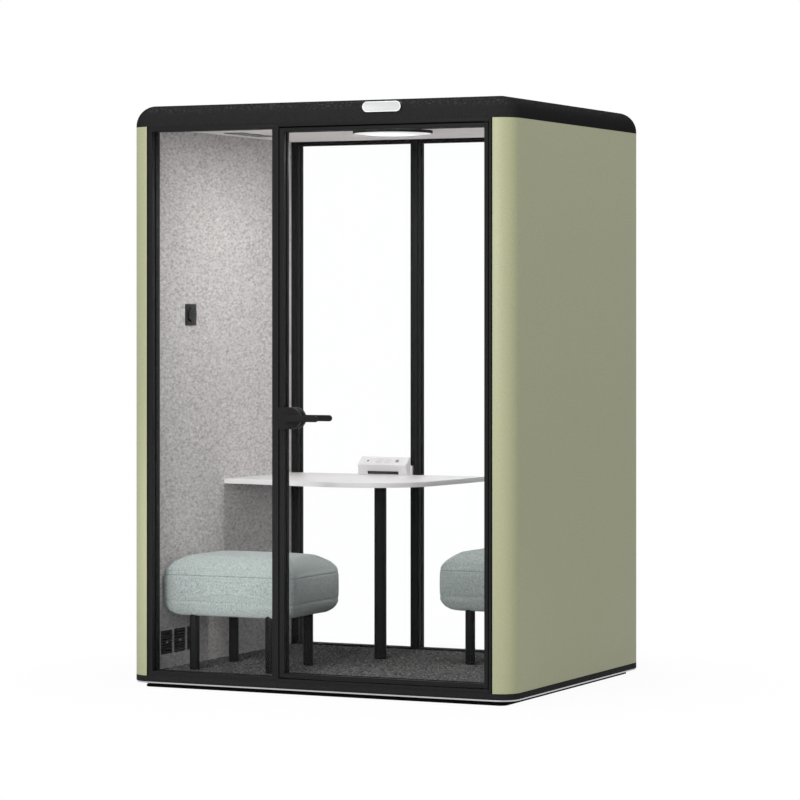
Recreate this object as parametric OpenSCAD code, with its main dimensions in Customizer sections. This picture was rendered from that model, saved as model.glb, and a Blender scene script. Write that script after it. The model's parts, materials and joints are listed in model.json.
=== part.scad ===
// Soundproof booth for one or two people, free-standing, with a glazed front,
// a hinged glass door, a glazed back, padded stools and a table.
// Millimetres. The origin lies on the floor under the middle of the booth,
// +Z is up, +X is to the right and the front faces -Y.

/* [Booth] */
// Outside width, side to side
booth_w = 1650; // [1600:5:1800]
// Outside depth, front face to back face
booth_d = 1350; // [1300:5:1500]
// Height from the floor to the top of the roof
booth_h = 2300; // [2200:5:2400]
// Radius of the four upright corners
corner_r = 80; // [76:1:90]

/* [Base] */
// Height of the plinth that stands on the floor
plinth_h = 19; // [15:1:30]
// How far the plinth stands back from each side
plinth_side_inset = 46; // [40:1:80]
// How far the plinth stands back from the front and the back
plinth_front_inset = 38; // [30:1:60]
// Corner radius of the plinth
plinth_r = 30; // [15:1:45]
// Depth of the shadow groove round the plinth
plinth_groove = 4; // [2:0.5:6]
// Height of the shadow groove round the plinth
plinth_groove_h = 5; // [3:1:8]
// Thickness of the bright trim plate on the plinth
trim_h = 6; // [4:1:10]
// How far the trim plate stands back from the base frame
trim_inset = 3; // [1:0.5:6]
// Height of the base frame's rails
base_h = 23; // [20:1:40]
// How far the floor board stands above the base frame
deck_rise = 4; // [2:1:8]
// Thickness of the carpet
carpet_t = 8; // [6:1:12]
// Joint between two bars that meet in a corner
joint_gap = 0.3; // [0.2:0.1:0.5]

/* [Side walls] */
// Thickness of a side wall, outer skin to felt face
wall_t = 60; // [52:1:66]
// Thickness of the steel outer skin
skin_t = 2; // [1.5:0.5:3]
// Thickness of the felt lining, on the walls and the ceiling
felt_t = 9; // [6:1:12]

/* [Roof] */
// Height of the roof cap
roof_h = 85; // [84:1:100]
// Radius of the roof cap's upper edges
roof_r = 80; // [60:1:80]
// Thickness of the roof cap's skin
roof_skin = 2.5; // [2:0.5:4]
// Thickness of the roof board that carries the fans
roof_board_t = 12; // [9:1:18]
// How far the roof board stands back from the cap's outside
roof_board_inset = 8; // [7:1:12]
// Length of the bare plate over the door
badge_w = 162; // [120:1:220]
// Height of the bare plate over the door
badge_h = 40; // [36:1:46]
// Height of the plate's lower edge above the roof cap's lower edge
badge_up = 33; // [20:1:34]
// How far the badge's middle lies to the left of the leaf's
badge_left = 4; // [0:1:20]
// How far the plate's face stands back from the front of the booth
badge_back = 0.5; // [0.2:0.1:2]

/* [Front frame] */
// Depth of the front and back frames
frame_depth = 62; // [58:1:70]
// Dark joint between the left corner and the left jamb
left_joint = 8; // [5:1:12]
// Dark joint between the right corner and the right jamb
right_joint = 5; // [4:1:10]
// How far the rubber in these joints stands back from the front
joint_seal_back = 10; // [5:1:20]
// Face width of the left and right jambs
jamb_w = 9; // [5:1:10]
// Face width of the post between the fixed pane and the door
post_w = 16; // [14:1:24]
// Height of the sill bar
sill_h = 9; // [7:1:14]
// Height of the threshold under the door
threshold_h = 6; // [4:1:8]
// Height of the head bar over the fixed pane
head_h = 3; // [3:1:8]
// Height of the head bar over the door
door_head_h = 14; // [12:1:20]
// Face width of the glazing bead beside the left jamb
bead_jamb_w = 8; // [5:1:10]
// Face width of the glazing bead beside the post
bead_post_w = 11; // [8:0.5:14]
// Height of the upper and lower glazing beads
bead_h = 17.5; // [14:0.5:26]
// Height of the fixed pane's lower beads
bead_low_h = 10.5; // [6:0.5:26]
// Depth of the outer glazing beads
bead_depth = 20; // [14:1:24]
// Thickness of the fixed pane, two sheets laminated
pane_t = 12; // [8:1:14]
// Gap round the edge of each sheet of glass
glass_gap = 0.5; // [0.3:0.1:1]

/* [Door] */
// Width of the door leaf
leaf_w = 882; // [820:5:900]
// Thickness of the door leaf
leaf_t = 40; // [38:1:42]
// Gap between the leaf and the post
lock_gap = 5.5; // [5:0.5:7]
// Gap between the leaf and the right jamb
hinge_gap = 3.5; // [3:0.5:5]
// Gap over the leaf
top_gap = 6; // [5:0.5:8]
// Gap under the leaf
bottom_gap = 5.8; // [5:0.2:8]
// Face width of the upright on the lock side
lock_stile_w = 19.5; // [18:0.5:24]
// Face width of the upright on the hinge side
hinge_stile_w = 15.5; // [15:0.5:20]
// Height of the leaf's upper bar
top_rail_h = 13.5; // [12:0.5:24]
// Height of the leaf's lower bar
bottom_rail_h = 15.2; // [14:0.2:26]
// Depth of the lip in front of the glass
leaf_lip = 14; // [13:0.5:16]
// How far the glass reaches under the lip
rebate = 5; // [4:0.5:7]
// Thickness of the door glass
door_glass_t = 12; // [10:1:12]
// Width of the inner glazing bead
door_bead_w = 7; // [5.5:0.5:9]
// Width of the stop bars behind the leaf
stop_w = 13; // [10:1:16]
// Depth of the stop bars
stop_depth = 18; // [14:1:18]
// Gap between the leaf and its seal when the door is shut
seal_gap = 0.6; // [0.5:0.1:1]
// Pivot axis, back from the leaf's hinge edge
pivot_in = 8.5; // [8:0.5:9]
// Pivot axis, back from the leaf's outer face
pivot_back = 8; // [7:0.5:8]
// Radius of the pivot pins
pivot_r = 4; // [3:0.5:4]
// Thickness of the pivot plates on the head and the threshold
pivot_plate_t = 3; // [2:0.5:3]
// Length of each pivot pin inside the leaf
pivot_len = 20; // [14:1:30]
// Wall of the pivot bushes
bush_wall = 1.5; // [1:0.25:1.5]
// Clearance round a turning pin or shaft, on the radius
run_gap = 0.05; // [0.02:0.01:0.08]
// Clearance between a moving part and the part beside it
move_gap = 0.3; // [0.3:0.1:0.5]

/* [Lock] */
// Height of the lever's axis above the floor
lock_z = 1072; // [950:5:1150]
// Length of the lock plates, from the leaf's edge
lock_plate_w = 92; // [80:1:120]
// Height of the lock plates, which is twice the radius of their round end
lock_plate_h = 84; // [70:2:100]
// How far the lock plates stand out from the leaf
lock_plate_t = 10; // [6:1:12]
// Radius of the raised rose round the lever's neck
rose_r = 26; // [20:1:30]
// How far the rose stands out from its plate
rose_t = 4; // [2:1:6]
// Radius of the lever's neck
neck_r = 8; // [6:0.5:10]
// Radius of the spindle through the glass
spindle_r = 5; // [4:0.5:5]
// Radius of the hole in the glass for the spindle
spindle_hole_r = 11; // [8:1:14]
// Distance of the grip's middle from the middle of the leaf's thickness
grip_out = 60; // [54:1:70]
// Length of the grip, from the axis to its round end
grip_len = 136; // [110:1:160]
// Height of the grip
grip_h = 24; // [18:1:30]
// Thickness of the grip
grip_t = 10; // [8:1:14]
// Height of the latch bolt
bolt_h = 12; // [10:1:20]
// Thickness of the latch bolt
bolt_t = 9; // [7:1:9]
// Length of the latch bolt
bolt_len = 40; // [32:1:42]
// How far the latch bolt stands out of the leaf's edge
bolt_out = 4.7; // [3:0.1:4.9]
// Height of the strike plate on the post
strike_h = 80; // [50:5:120]
// Thickness of the strike plate
strike_t = 2; // [1.5:0.5:3]

/* [Back frame] */
// Face width of the back jambs, seen from inside
back_jamb_w = 20.5; // [20.5:0.5:36]
// Face width of the upright between the back panes
mullion_w = 28; // [24:0.5:50]
// Width of the narrower back pane, to the left of the upright
back_pane_w = 547; // [460:1:640]
// Height of the back frame's upper bar
back_head_h = 10.5; // [10:0.5:30]
// Height of the back frame's lower bar
back_sill_h = 9.5; // [9.5:0.5:30]
// Depth of the back glazing beads
back_bead_depth = 20; // [14:1:24]
// Width of the back glazing beads
back_bead_w = 6; // [6:1:14]

/* [Lamp and fans] */
// Distance of the ceiling lamp from the middle, to the right
lamp_x = 10; // [-40:1:40]
// Radius of the ceiling lamp
lamp_r = 161; // [120:1:180]
// Height of the lamp's black rim
lamp_h = 12; // [10:1:20]
// Wall of the lamp's rim
lamp_wall = 6; // [4:1:12]
// How far the lamp's diffuser bulges below the rim
lamp_bulge = 8; // [8:1:30]
// Width of a fan frame
fan_w = 92; // [80:1:100]
// Height of a fan frame
fan_h = 25; // [22:1:30]
// Radius of the round air way through a fan, the board and the felt
fan_bore_r = 43; // [34:1:44]
// Distance between the fans
fan_pitch = 113; // [104:1:130]
// Distance of the fans from the left wall's felt
fan_in = 125; // [60:5:200]
// Radius of a fan's hub
fan_hub_r = 18; // [14:1:22]
// Number of blades on a fan
fan_blades = 7; // [5:1:9]
// Radius of a fan's shaft
fan_shaft_r = 2; // [1.5:0.5:3]
// Width of a ceiling grille
ceiling_grille_w = 100; // [96:1:110]
// Length of a ceiling grille
ceiling_grille_l = 104; // [96:1:104]
// Thickness of a grille's rim, on the ceiling and the wall
grille_t = 5; // [3:1:8]

/* [Wall fittings] */
// Width of a wall grille, along the wall
wall_grille_w = 102; // [80:1:104]
// Height of a wall grille
wall_grille_h = 107; // [90:1:140]
// Distance between the middles of two wall grilles
wall_grille_pitch = 108; // [105:1:130]
// Height of the wall grilles' middle above the floor
wall_grille_z = 162; // [140:1:220]
// Distance of the first wall grille's middle from the front frame
wall_grille_in = 132; // [70:1:200]
// Width of the grilles' rims
grille_rim = 6; // [4:1:10]
// Number of slots in a grille
grille_slots = 8; // [5:1:12]
// Width of the slats between two slots
slat_w = 5; // [3:0.5:6]
// Depth of the air box behind a wall grille
duct_depth = 38; // [20:1:40]
// Width and height of the wall switch
switch_w = 86; // [80:1:90]
// Thickness of the wall switch's plate
switch_t = 5; // [5:1:14]
// Height of the wall switch's middle above the floor
switch_z = 1473; // [1200:1:1500]
// Distance of the wall switch's middle from the front frame
switch_in = 329; // [150:1:400]
// Radius of the turning knob
knob_r = 30; // [20:1:38]
// Height of the turning knob
knob_t = 9; // [6:1:16]
// Radius of the knob's shaft
knob_shaft_r = 3; // [2:0.5:4]

/* [Table] */
// Height of the table's upper face above the floor
table_z = 795; // [720:1:850]
// Thickness of the table top
table_t = 20; // [18:1:30]
// Length of the table along the back frame, from the left wall
table_len = 915; // [800:5:1000]
// Width of the table along the left wall
table_wide = 607; // [500:1:700]
// How far the front edge bulges forward of its end at the wall
table_bulge = 94; // [20:1:110]
// How far the table's edge is let into the felt
table_housed = 6; // [3:1:8]
// Radius of the pins that hold the table
table_pin_r = 5; // [4:0.5:6]
// Length of a table pin on each side of the joint
table_pin_len = 30; // [20:1:40]
// Radius of the table's leg
table_leg_r = 25; // [18:1:30]
// Distance of the leg from the table's right end
leg_from_end = 288; // [200:1:400]
// Distance of the leg from the back frame
leg_from_back = 420; // [200:1:480]
// Radius of the plate between the leg and the table
leg_plate_r = 45; // [35:1:60]
// Thickness of the plates on top of the legs
leg_plate_t = 5; // [3:1:8]

/* [Socket box] */
// Length of the socket box
box_len = 224; // [200:1:280]
// Distance of the box's left end from the left wall
box_from_wall = 351; // [250:1:450]
// Height of the box's back edge above the table
box_high = 75; // [70:1:90]
// Height of the box's front edge above the table
box_low = 43; // [38:1:50]
// Depth of the box at its foot
box_foot = 46; // [40:1:50]
// How far the front edge stands forward of the foot
box_nose = 20; // [14:1:24]
// Depth of the socket box's sloping face, seen from above
box_run = 44; // [38:1:44]
// Gap between the box and the back frame
box_back_gap = 2; // [1:1:20]
// Height of the rail behind the box, which is longer than the box
rail_h = 39; // [20:1:60]
// Depth of that rail
rail_depth = 16; // [10:1:20]
// How far the rail stands out past the box's left end
rail_left = 23; // [0:1:30]
// How far the rail stands out past the box's right end
rail_right = 5; // [0:1:15]
// Radius of the box's power button
button_r = 8; // [6:0.5:9]
// How far the power button stands out
button_out = 2.5; // [2:0.5:4]
// How far the power button travels
button_travel = 1.5; // [1:0.5:2]

/* [Stools] */
// Width of a stool's seat
stool_w = 588; // [520:2:600]
// Depth of a stool's seat
stool_d = 396; // [380:2:460]
// Height of a seat's top above the carpet
seat_z = 454; // [420:2:480]
// Height of the seat's middle band, between its two seams
seat_band = 102; // [80:1:120]
// Height of the seat's rounded lower part
seat_under = 60; // [40:1:70]
// Height of the seat's domed upper part, without its crown
seat_dome = 64; // [50:1:90]
// Rise of the crown over the dome's edge
seat_crown = 14; // [4:1:18]
// How far the dome draws in from the side
dome_in = 80; // [60:1:110]
// How far the rounded lower part draws in from the side
under_in = 62; // [40:1:70]
// Radius of the seat's upright corners
seat_corner_r = 12; // [8:1:60]
// How far the sides pull in between the corners
seat_pull = 4; // [2:1:10]
// Depth of the sewn seams
seam_depth = 3; // [2:0.5:5]
// Distance between a stool's legs, side to side
stool_leg_w = 340; // [300:2:400]
// Distance between a stool's legs, front to back
stool_leg_d = 330; // [240:2:340]
// Radius of a stool's leg
stool_leg_r = 20; // [15:1:25]
// How far a stool's leg runs up into a socket in the seat
leg_socket = 30; // [26:1:40]
// Gap between the left stool and the left wall
left_stool_gap = 6; // [4:1:40]
// Distance of the left stool from the front frame
left_stool_in = 97; // [40:1:120]
// Gap between the right stool and the right wall
right_stool_gap = 24; // [10:1:80]
// Distance of the right stool from the back frame
right_stool_in = 81; // [20:1:100]

/* [Hidden] */
$fn = 64;

// Finishes
black_metal = [0.16, 0.16, 0.17];
dark_rubber = [0.07, 0.07, 0.07];
sage_green = [0.66, 0.68, 0.57];
felt_grey = [0.72, 0.71, 0.70];
carpet_grey = [0.27, 0.27, 0.27];
core_tan = [0.75, 0.66, 0.48];
glass_tint = [0.80, 0.90, 0.92, 0.30];
bright_metal = [0.78, 0.78, 0.80];
white_plastic = [0.93, 0.93, 0.93];
seat_fabric = [0.62, 0.67, 0.66];

// Heights, from the floor up
z_base = plinth_h + trim_h;
z_wall = z_base + base_h;
z_deck = z_wall + deck_rise;
z_carpet = z_deck + carpet_t;
z_roof = booth_h - roof_h;
z_sill = z_wall + sill_h;
z_threshold = z_sill + threshold_h;
z_head = z_roof - head_h;
z_door_head = z_roof - door_head_h;

// Half sizes of the booth, of the cabin, and of the frames' place at the front
half_w = booth_w / 2;
half_d = booth_d / 2;
cabin_x = half_w - wall_t;
cabin_y = half_d - frame_depth;
edge_x = half_w - corner_r;
core_x = cabin_x + felt_t;

// Front frame, from left to right, and the leaf within it
jamb_left_x = -edge_x + left_joint;
jamb_right_x = edge_x - right_joint;
leaf_x1 = jamb_right_x - jamb_w - hinge_gap;
leaf_x0 = leaf_x1 - leaf_w;
post_x1 = leaf_x0 - lock_gap;
post_x0 = post_x1 - post_w;
front_y = -half_d;
inner_y = -cabin_y;
leaf_y = front_y + leaf_t;
leaf_z0 = z_threshold + bottom_gap;
leaf_z1 = z_door_head - top_gap;
frame_left = jamb_left_x + jamb_w;
frame_right = jamb_right_x - jamb_w;
stop_y = inner_y - stop_depth;
stop_z = z_door_head - stop_w;

// Pivot axis of the door
pivot_x = leaf_x1 - pivot_in;
pivot_y = front_y + pivot_back;
bush_r = pivot_r + run_gap + bush_wall;
bush_fit = 0.02;
flange_t = bottom_gap - pivot_plate_t - move_gap;
flange_r = bush_r + bush_wall;
heel_chamfer = 6;
toe_chamfer = 2;

// Lever's axis, and the faces that the lock plates lie on
lever_x = leaf_x0 + lock_plate_w - lock_plate_h / 2;
inner_plate_x0 = post_x1 + stop_w + 3;
glass_y0 = front_y + leaf_lip;
glass_y1 = glass_y0 + door_glass_t;
plate_y0 = front_y - lock_plate_t;
plate_y1 = leaf_y + lock_plate_t;
leaf_mid_y = front_y + leaf_t / 2;
bolt_y = front_y + leaf_lip / 2;

// Back frame
back_edge_x = cabin_x - back_jamb_w;
mullion_x0 = -back_edge_x + back_pane_w;
mullion_x1 = mullion_x0 + mullion_w;
back_z0 = z_wall + back_sill_h;
back_z1 = z_roof - back_head_h;
back_glass_y = cabin_y + frame_depth - back_bead_depth - pane_t;

// Roof, lamp and fans
z_ceiling = z_roof;
z_board = z_ceiling + felt_t;
z_fan = z_board + roof_board_t;
fan_x = -cabin_x + fan_in;
fan_ys = [-fan_pitch, 0, fan_pitch];
strut_t = 3;
rotor_gap = 2;

// Left wall fittings
grille_ys = [for (i = [0:2]) inner_y + wall_grille_in + i * wall_grille_pitch];
switch_y = inner_y + switch_in;

// Table
table_y0 = cabin_y - table_wide;
table_x1 = -cabin_x + table_len;
table_back_gap = 0.4;
leg_x = table_x1 - leg_from_end;
leg_y = cabin_y - leg_from_back;
pin_ys = [for (i = [0:2]) table_y0 + (0.5 + i) * table_wide / 3];
pin_fit = 0.02;
curve_steps = 12;

// Socket box: its side outline runs from front to back
box_x = -cabin_x + box_from_wall;
box_y = cabin_y - box_back_gap - box_foot;
ridge_y = box_run - box_nose;
box_back = max(box_foot - rail_depth + 2, ridge_y + 6);
box_step = 40;
slope_deg = atan2(box_high - box_low, box_run);
slope_len = norm([box_high - box_low, box_run]);
port_x = 38;
pilot_x = 50;
outlet_xs = [92, 132];
button_x = 175;
insert_t = 3;

// Stools
seat_h = seat_band + seat_under + seat_dome + seat_crown;
seat_bottom = z_carpet + seat_z - seat_h;
left_stool = [-cabin_x + left_stool_gap + stool_w / 2,
              inner_y + left_stool_in + stool_d / 2];
right_stool = [cabin_x - right_stool_gap - stool_w / 2,
               cabin_y - right_stool_in - stool_d / 2];
corner_steps = 7;
side_steps = 3;

// Box between two opposite corners
module span(lo, hi) translate(lo) cube(hi - lo);

// Upright slab with rounded corners, middle at the origin
module rounded_slab(w, d, r, z0, z1) {
    translate([0, 0, z0]) linear_extrude(z1 - z0) union() {
        square([w - 2 * r, d], center = true);
        square([w, d - 2 * r], center = true);
        for (sx = [-1, 1], sy = [-1, 1])
            translate([sx * (w / 2 - r), sy * (d / 2 - r)]) circle(r);
    }
}

// Quarter of a disc, in the first quadrant
module quarter_disc(r) intersection() {
    circle(r);
    square(r);
}

// Rounded slab whose upper edges and corners are round as well
module pillow(w, d, r, h, edge) {
    flat = h - edge;
    rounded_slab(w, d, r, 0, flat);
    translate([0, 0, flat]) {
        translate([0, 0, edge / 2]) cube([w - 2 * edge, d - 2 * edge, edge], center = true);
        for (s = [0, 1]) rotate([0, 0, 180 * s]) {
            translate([w / 2 - edge, d / 2 - edge, 0]) rotate([90, 0, 0])
                linear_extrude(d - 2 * edge) quarter_disc(edge);
            translate([w / 2 - edge, d / 2 - edge, 0]) rotate([90, 0, -90]) mirror([1, 0, 0])
                linear_extrude(w - 2 * edge) quarter_disc(edge);
        }
        for (sx = [0, 1], sy = [0, 1]) mirror([sx, 0, 0]) mirror([0, sy, 0])
            translate([w / 2 - edge, d / 2 - edge, 0])
                rotate_extrude(angle = 90) quarter_disc(edge);
    }
}

// Four bars round an opening, from lo to hi in X and Z, between two Y faces
module bar_ring(lo, hi, y0, y1, left, right, top, bottom) {
    span([lo[0], y0, lo[1]], [hi[0], y1, lo[1] + bottom]);
    span([lo[0], y0, hi[1] - top], [hi[0], y1, hi[1]]);
    span([lo[0], y0, lo[1] + bottom + joint_gap], [lo[0] + left, y1, hi[1] - top - joint_gap]);
    span([hi[0] - right, y0, lo[1] + bottom + joint_gap], [hi[0], y1, hi[1] - top - joint_gap]);
}

// Cylinder along Y, between two Y faces
module rod_y(x, z, y0, y1, r) translate([x, y0, z]) rotate([-90, 0, 0]) cylinder(r = r, h = y1 - y0);

// Cylinder along X, between two X faces
module rod_x(y, z, x0, x1, r) translate([x0, y, z]) rotate([0, 90, 0]) cylinder(r = r, h = x1 - x0);

module plinth() color(dark_rubber) difference() {
    rounded_slab(booth_w - 2 * plinth_side_inset, booth_d - 2 * plinth_front_inset,
        plinth_r, 0, plinth_h);
    difference() {
        rounded_slab(booth_w, booth_d, corner_r,
            (plinth_h - plinth_groove_h) / 2, (plinth_h + plinth_groove_h) / 2);
        rounded_slab(booth_w - 2 * (plinth_side_inset + plinth_groove),
            booth_d - 2 * (plinth_front_inset + plinth_groove),
            plinth_r - plinth_groove, 0, plinth_h);
    }
}

module base_trim() color(bright_metal) rounded_slab(booth_w - 2 * trim_inset,
    booth_d - 2 * trim_inset, corner_r - trim_inset, plinth_h, z_base);

// Four welded rails; the ones at the front and back carry the round corners
module base_frame() color(black_metal) intersection() {
    rounded_slab(booth_w, booth_d, corner_r, z_base, z_wall);
    union() {
        for (s = [0, 1]) mirror([0, s, 0])
            span([-half_w, -half_d, z_base], [half_w, -cabin_y - joint_gap, z_wall]);
        for (s = [0, 1]) mirror([s, 0, 0])
            span([cabin_x, -cabin_y, z_base], [half_w, cabin_y, z_wall]);
    }
}

module floor_deck() color(core_tan)
    span([-cabin_x, -cabin_y, z_base], [cabin_x, cabin_y, z_deck]);

module carpet() color(carpet_grey)
    span([-cabin_x, -cabin_y, z_deck], [cabin_x, cabin_y, z_carpet]);

// Bent steel skin that wraps one side and its two round corners
module side_shell(s) color(sage_green) mirror([s, 0, 0]) intersection() {
    difference() {
        rounded_slab(booth_w, booth_d, corner_r, z_wall, z_roof);
        rounded_slab(booth_w - 2 * skin_t, booth_d - 2 * skin_t, corner_r - skin_t,
            z_wall - 1, z_roof + 1);
    }
    span([edge_x, -half_d - 1, z_wall], [half_w + 1, half_d + 1, z_roof]);
}

module left_side_shell() side_shell(1);
module right_side_shell() side_shell(0);

// What lies inside the skin, between two heights
module inside_skin(z0, z1) rounded_slab(booth_w - 2 * skin_t, booth_d - 2 * skin_t,
    corner_r - skin_t, z0, z1);

// Solid posts in the four corners; the back pair is narrower
module corner_posts() color(black_metal) intersection() {
    inside_skin(z_wall, z_roof);
    for (s = [0, 1]) mirror([s, 0, 0]) {
        span([edge_x, -half_d, z_wall], [half_w, -cabin_y, z_roof]);
        span([cabin_x, cabin_y, z_wall], [half_w, half_d, z_roof]);
    }
}

module wall_core(s) mirror([s, 0, 0]) intersection() {
    inside_skin(z_wall, z_roof);
    span([core_x, -cabin_y, z_wall], [half_w, cabin_y, z_roof]);
}

module left_wall_core() color(core_tan) difference() {
    wall_core(1);
    for (y = grille_ys) span([-core_x - duct_depth, y - wall_grille_w / 2 + grille_rim, duct_z0],
        [-core_x + 1, y + wall_grille_w / 2 - grille_rim, duct_z1]);
    for (y = pin_ys) rod_x(y, table_z - table_t / 2, -core_x - table_pin_len, -core_x + 1,
        table_pin_r + pin_fit);
}
duct_z0 = wall_grille_z - wall_grille_h / 2 + grille_rim;
duct_z1 = wall_grille_z + wall_grille_h / 2 - grille_rim;

module right_wall_core() color(core_tan) wall_core(0);

module left_felt() color(felt_grey) difference() {
    span([-core_x, -cabin_y, z_wall], [-cabin_x, cabin_y, z_roof]);
    for (y = grille_ys) span([-core_x - 1, y - wall_grille_w / 2 + grille_rim, duct_z0],
        [-cabin_x + 1, y + wall_grille_w / 2 - grille_rim, duct_z1]);
    span([-cabin_x - table_housed, table_y0, table_z - table_t],
        [-cabin_x + 1, cabin_y - table_back_gap, table_z]);
    for (y = pin_ys) rod_x(y, table_z - table_t / 2, -core_x - 1, -cabin_x + 1,
        table_pin_r + pin_fit);
}

module right_felt() color(felt_grey)
    span([cabin_x, -cabin_y, z_wall], [core_x, cabin_y, z_roof]);

// Rubber that closes the dark joints beside the jambs
module joint_seals() color(dark_rubber) {
    span([-edge_x, front_y + joint_seal_back, z_wall], [jamb_left_x, inner_y, z_roof]);
    span([jamb_right_x, front_y + joint_seal_back, z_wall], [edge_x, inner_y, z_roof]);
}

module front_jambs() color(black_metal) {
    span([jamb_left_x, front_y, z_wall], [frame_left, inner_y, z_roof]);
    span([frame_right, front_y, z_wall], [jamb_right_x, inner_y, z_roof]);
}

module front_head() color(black_metal) {
    span([frame_left, front_y, z_head], [frame_right, inner_y, z_roof]);
    span([post_x1, front_y, z_door_head], [frame_right, inner_y, z_head]);
}

module front_sill() color(black_metal) {
    span([frame_left, front_y, z_wall], [frame_right, inner_y, z_sill]);
    span([post_x1, front_y, z_sill], [frame_right, inner_y, z_threshold]);
}

// Post between the fixed pane and the door, cut for the strike plate
module centre_post() color(black_metal) difference() {
    span([post_x0, front_y, z_sill], [post_x1, inner_y, z_head]);
    strike_plate_body(1);
    bolt_hole(post_x1 - post_w / 2, post_x1 + 1);
}

// The strike plate's block, run out past the post's face by over
module strike_plate_body(over) span(
    [post_x1 - strike_t, front_y + 1, lock_z - strike_h / 2],
    [post_x1 + over, front_y + 2 * leaf_lip, lock_z + strike_h / 2]);

// The bolt's way, with its clearance all round
module bolt_hole(x0, x1) span(
    [x0, bolt_y - bolt_t / 2 - move_gap, lock_z - bolt_h / 2 - move_gap],
    [x1, bolt_y + bolt_t / 2 + move_gap, lock_z + bolt_h / 2 + move_gap]);

module strike_plate() color(bright_metal) difference() {
    strike_plate_body(0);
    bolt_hole(post_x1 - post_w, post_x1 + 1);
}

module fixed_glass() color(glass_tint) span(
    [frame_left + glass_gap, front_y + bead_depth, z_sill + glass_gap],
    [post_x0 - glass_gap, front_y + bead_depth + pane_t, z_head - glass_gap]);

// Glazing beads in front of the fixed pane and behind it
module fixed_beads() color(black_metal) for (ys = [[front_y, front_y + bead_depth],
        [front_y + bead_depth + pane_t, inner_y]])
    bar_ring([frame_left, z_sill], [post_x0, z_head], ys[0], ys[1],
        bead_jamb_w, bead_post_w, bead_h, bead_low_h);

// Stop bars behind the leaf, on both sides and above
module door_stops() color(black_metal) {
    span([post_x1, stop_y, z_threshold], [post_x1 + stop_w, inner_y, z_door_head]);
    span([frame_right - stop_w, stop_y, z_threshold], [frame_right, inner_y, z_door_head]);
    span([post_x1 + stop_w + joint_gap, stop_y, stop_z],
        [frame_right - stop_w - joint_gap, inner_y, z_door_head]);
}

// Soft seals on the stop bars, just clear of the shut leaf
module door_seals() color(dark_rubber) {
    y0 = leaf_y + seal_gap;
    in = 2;
    span([post_x1 + in, y0, z_threshold], [post_x1 + stop_w - in, stop_y, z_door_head]);
    span([frame_right - stop_w + in, y0, z_threshold], [frame_right - in, stop_y, z_door_head]);
    span([post_x1 + stop_w, y0, stop_z + in], [frame_right - stop_w, stop_y, z_door_head - in]);
}

// One pivot plate with its pin, on the threshold; the upper one is its mirror image
module pivot(z0) translate([pivot_x, pivot_y, z0]) {
    translate([-pivot_in, 1 - pivot_back, 0]) cube([2 * pivot_in, 26, pivot_plate_t]);
    cylinder(r = pivot_r, h = pivot_plate_t + flange_t + pivot_len);
}

module door_pivots() color(bright_metal) {
    pivot(z_threshold);
    translate([0, 0, z_door_head]) mirror([0, 0, 1]) pivot(0);
}

// One bush: a sleeve in the leaf and a flange under it, from the leaf's end up
module bush(flange) difference() {
    union() {
        cylinder(r = bush_r, h = pivot_len);
        translate([0, 0, -flange]) cylinder(r = flange_r, h = flange);
    }
    translate([0, 0, -flange - 1]) cylinder(r = pivot_r + run_gap, h = pivot_len + flange + 2);
}

module pivot_bushes() color(bright_metal) {
    translate([pivot_x, pivot_y, leaf_z0]) bush(flange_t);
    translate([pivot_x, pivot_y, leaf_z1]) mirror([0, 0, 1])
        bush(top_gap - pivot_plate_t - move_gap);
}

// Leaf frame: two uprights with square-cut bars between them
module door_frame() color(black_metal) {
    lock_stile();
    hinge_stile();
    for (zs = [[leaf_z0, leaf_z0 + bottom_rail_h, 1], [leaf_z1 - top_rail_h, leaf_z1, -1]])
        difference() {
            span([leaf_x0 + lock_stile_w + joint_gap, front_y, zs[0]],
                [leaf_x1 - hinge_stile_w - joint_gap, leaf_y, zs[1]]);
            glass_rebate();
        }
}

// The step behind the lip, in which the glass and its beads lie
module glass_rebate() span(
    [leaf_x0 + lock_stile_w - rebate, glass_y0, leaf_z0 + bottom_rail_h - rebate],
    [leaf_x1 - hinge_stile_w + rebate, leaf_y + 1, leaf_z1 - top_rail_h + rebate]);

module lock_stile() difference() {
    span([leaf_x0, front_y, leaf_z0], [leaf_x0 + lock_stile_w, leaf_y, leaf_z1]);
    glass_rebate();
    bolt_hole(leaf_x0 - 1, leaf_x0 + lock_stile_w + 1);
}

// The heel's corners are cut back so that they clear the jamb as the door swings
module hinge_stile() difference() {
    translate([0, 0, leaf_z0]) linear_extrude(leaf_z1 - leaf_z0) polygon([
        [leaf_x1 - hinge_stile_w, front_y],
        [leaf_x1 - toe_chamfer, front_y],
        [leaf_x1, front_y + toe_chamfer],
        [leaf_x1, leaf_y - heel_chamfer],
        [leaf_x1 - heel_chamfer, leaf_y],
        [leaf_x1 - hinge_stile_w, leaf_y]]);
    glass_rebate();
    for (z = [leaf_z0 - 1, leaf_z1 - pivot_len - 0.5]) translate([pivot_x, pivot_y, z])
        cylinder(r = bush_r + bush_fit, h = pivot_len + 1.5);
}

// Outline of the door glass, with a hole for the spindle
module door_glass() color(glass_tint) difference() {
    in = rebate - glass_gap;
    span([leaf_x0 + lock_stile_w - in, glass_y0, leaf_z0 + bottom_rail_h - in],
        [leaf_x1 - hinge_stile_w + in, glass_y1, leaf_z1 - top_rail_h + in]);
    rod_y(lever_x, lock_z, glass_y0 - 1, glass_y1 + 1, spindle_hole_r);
}

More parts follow.
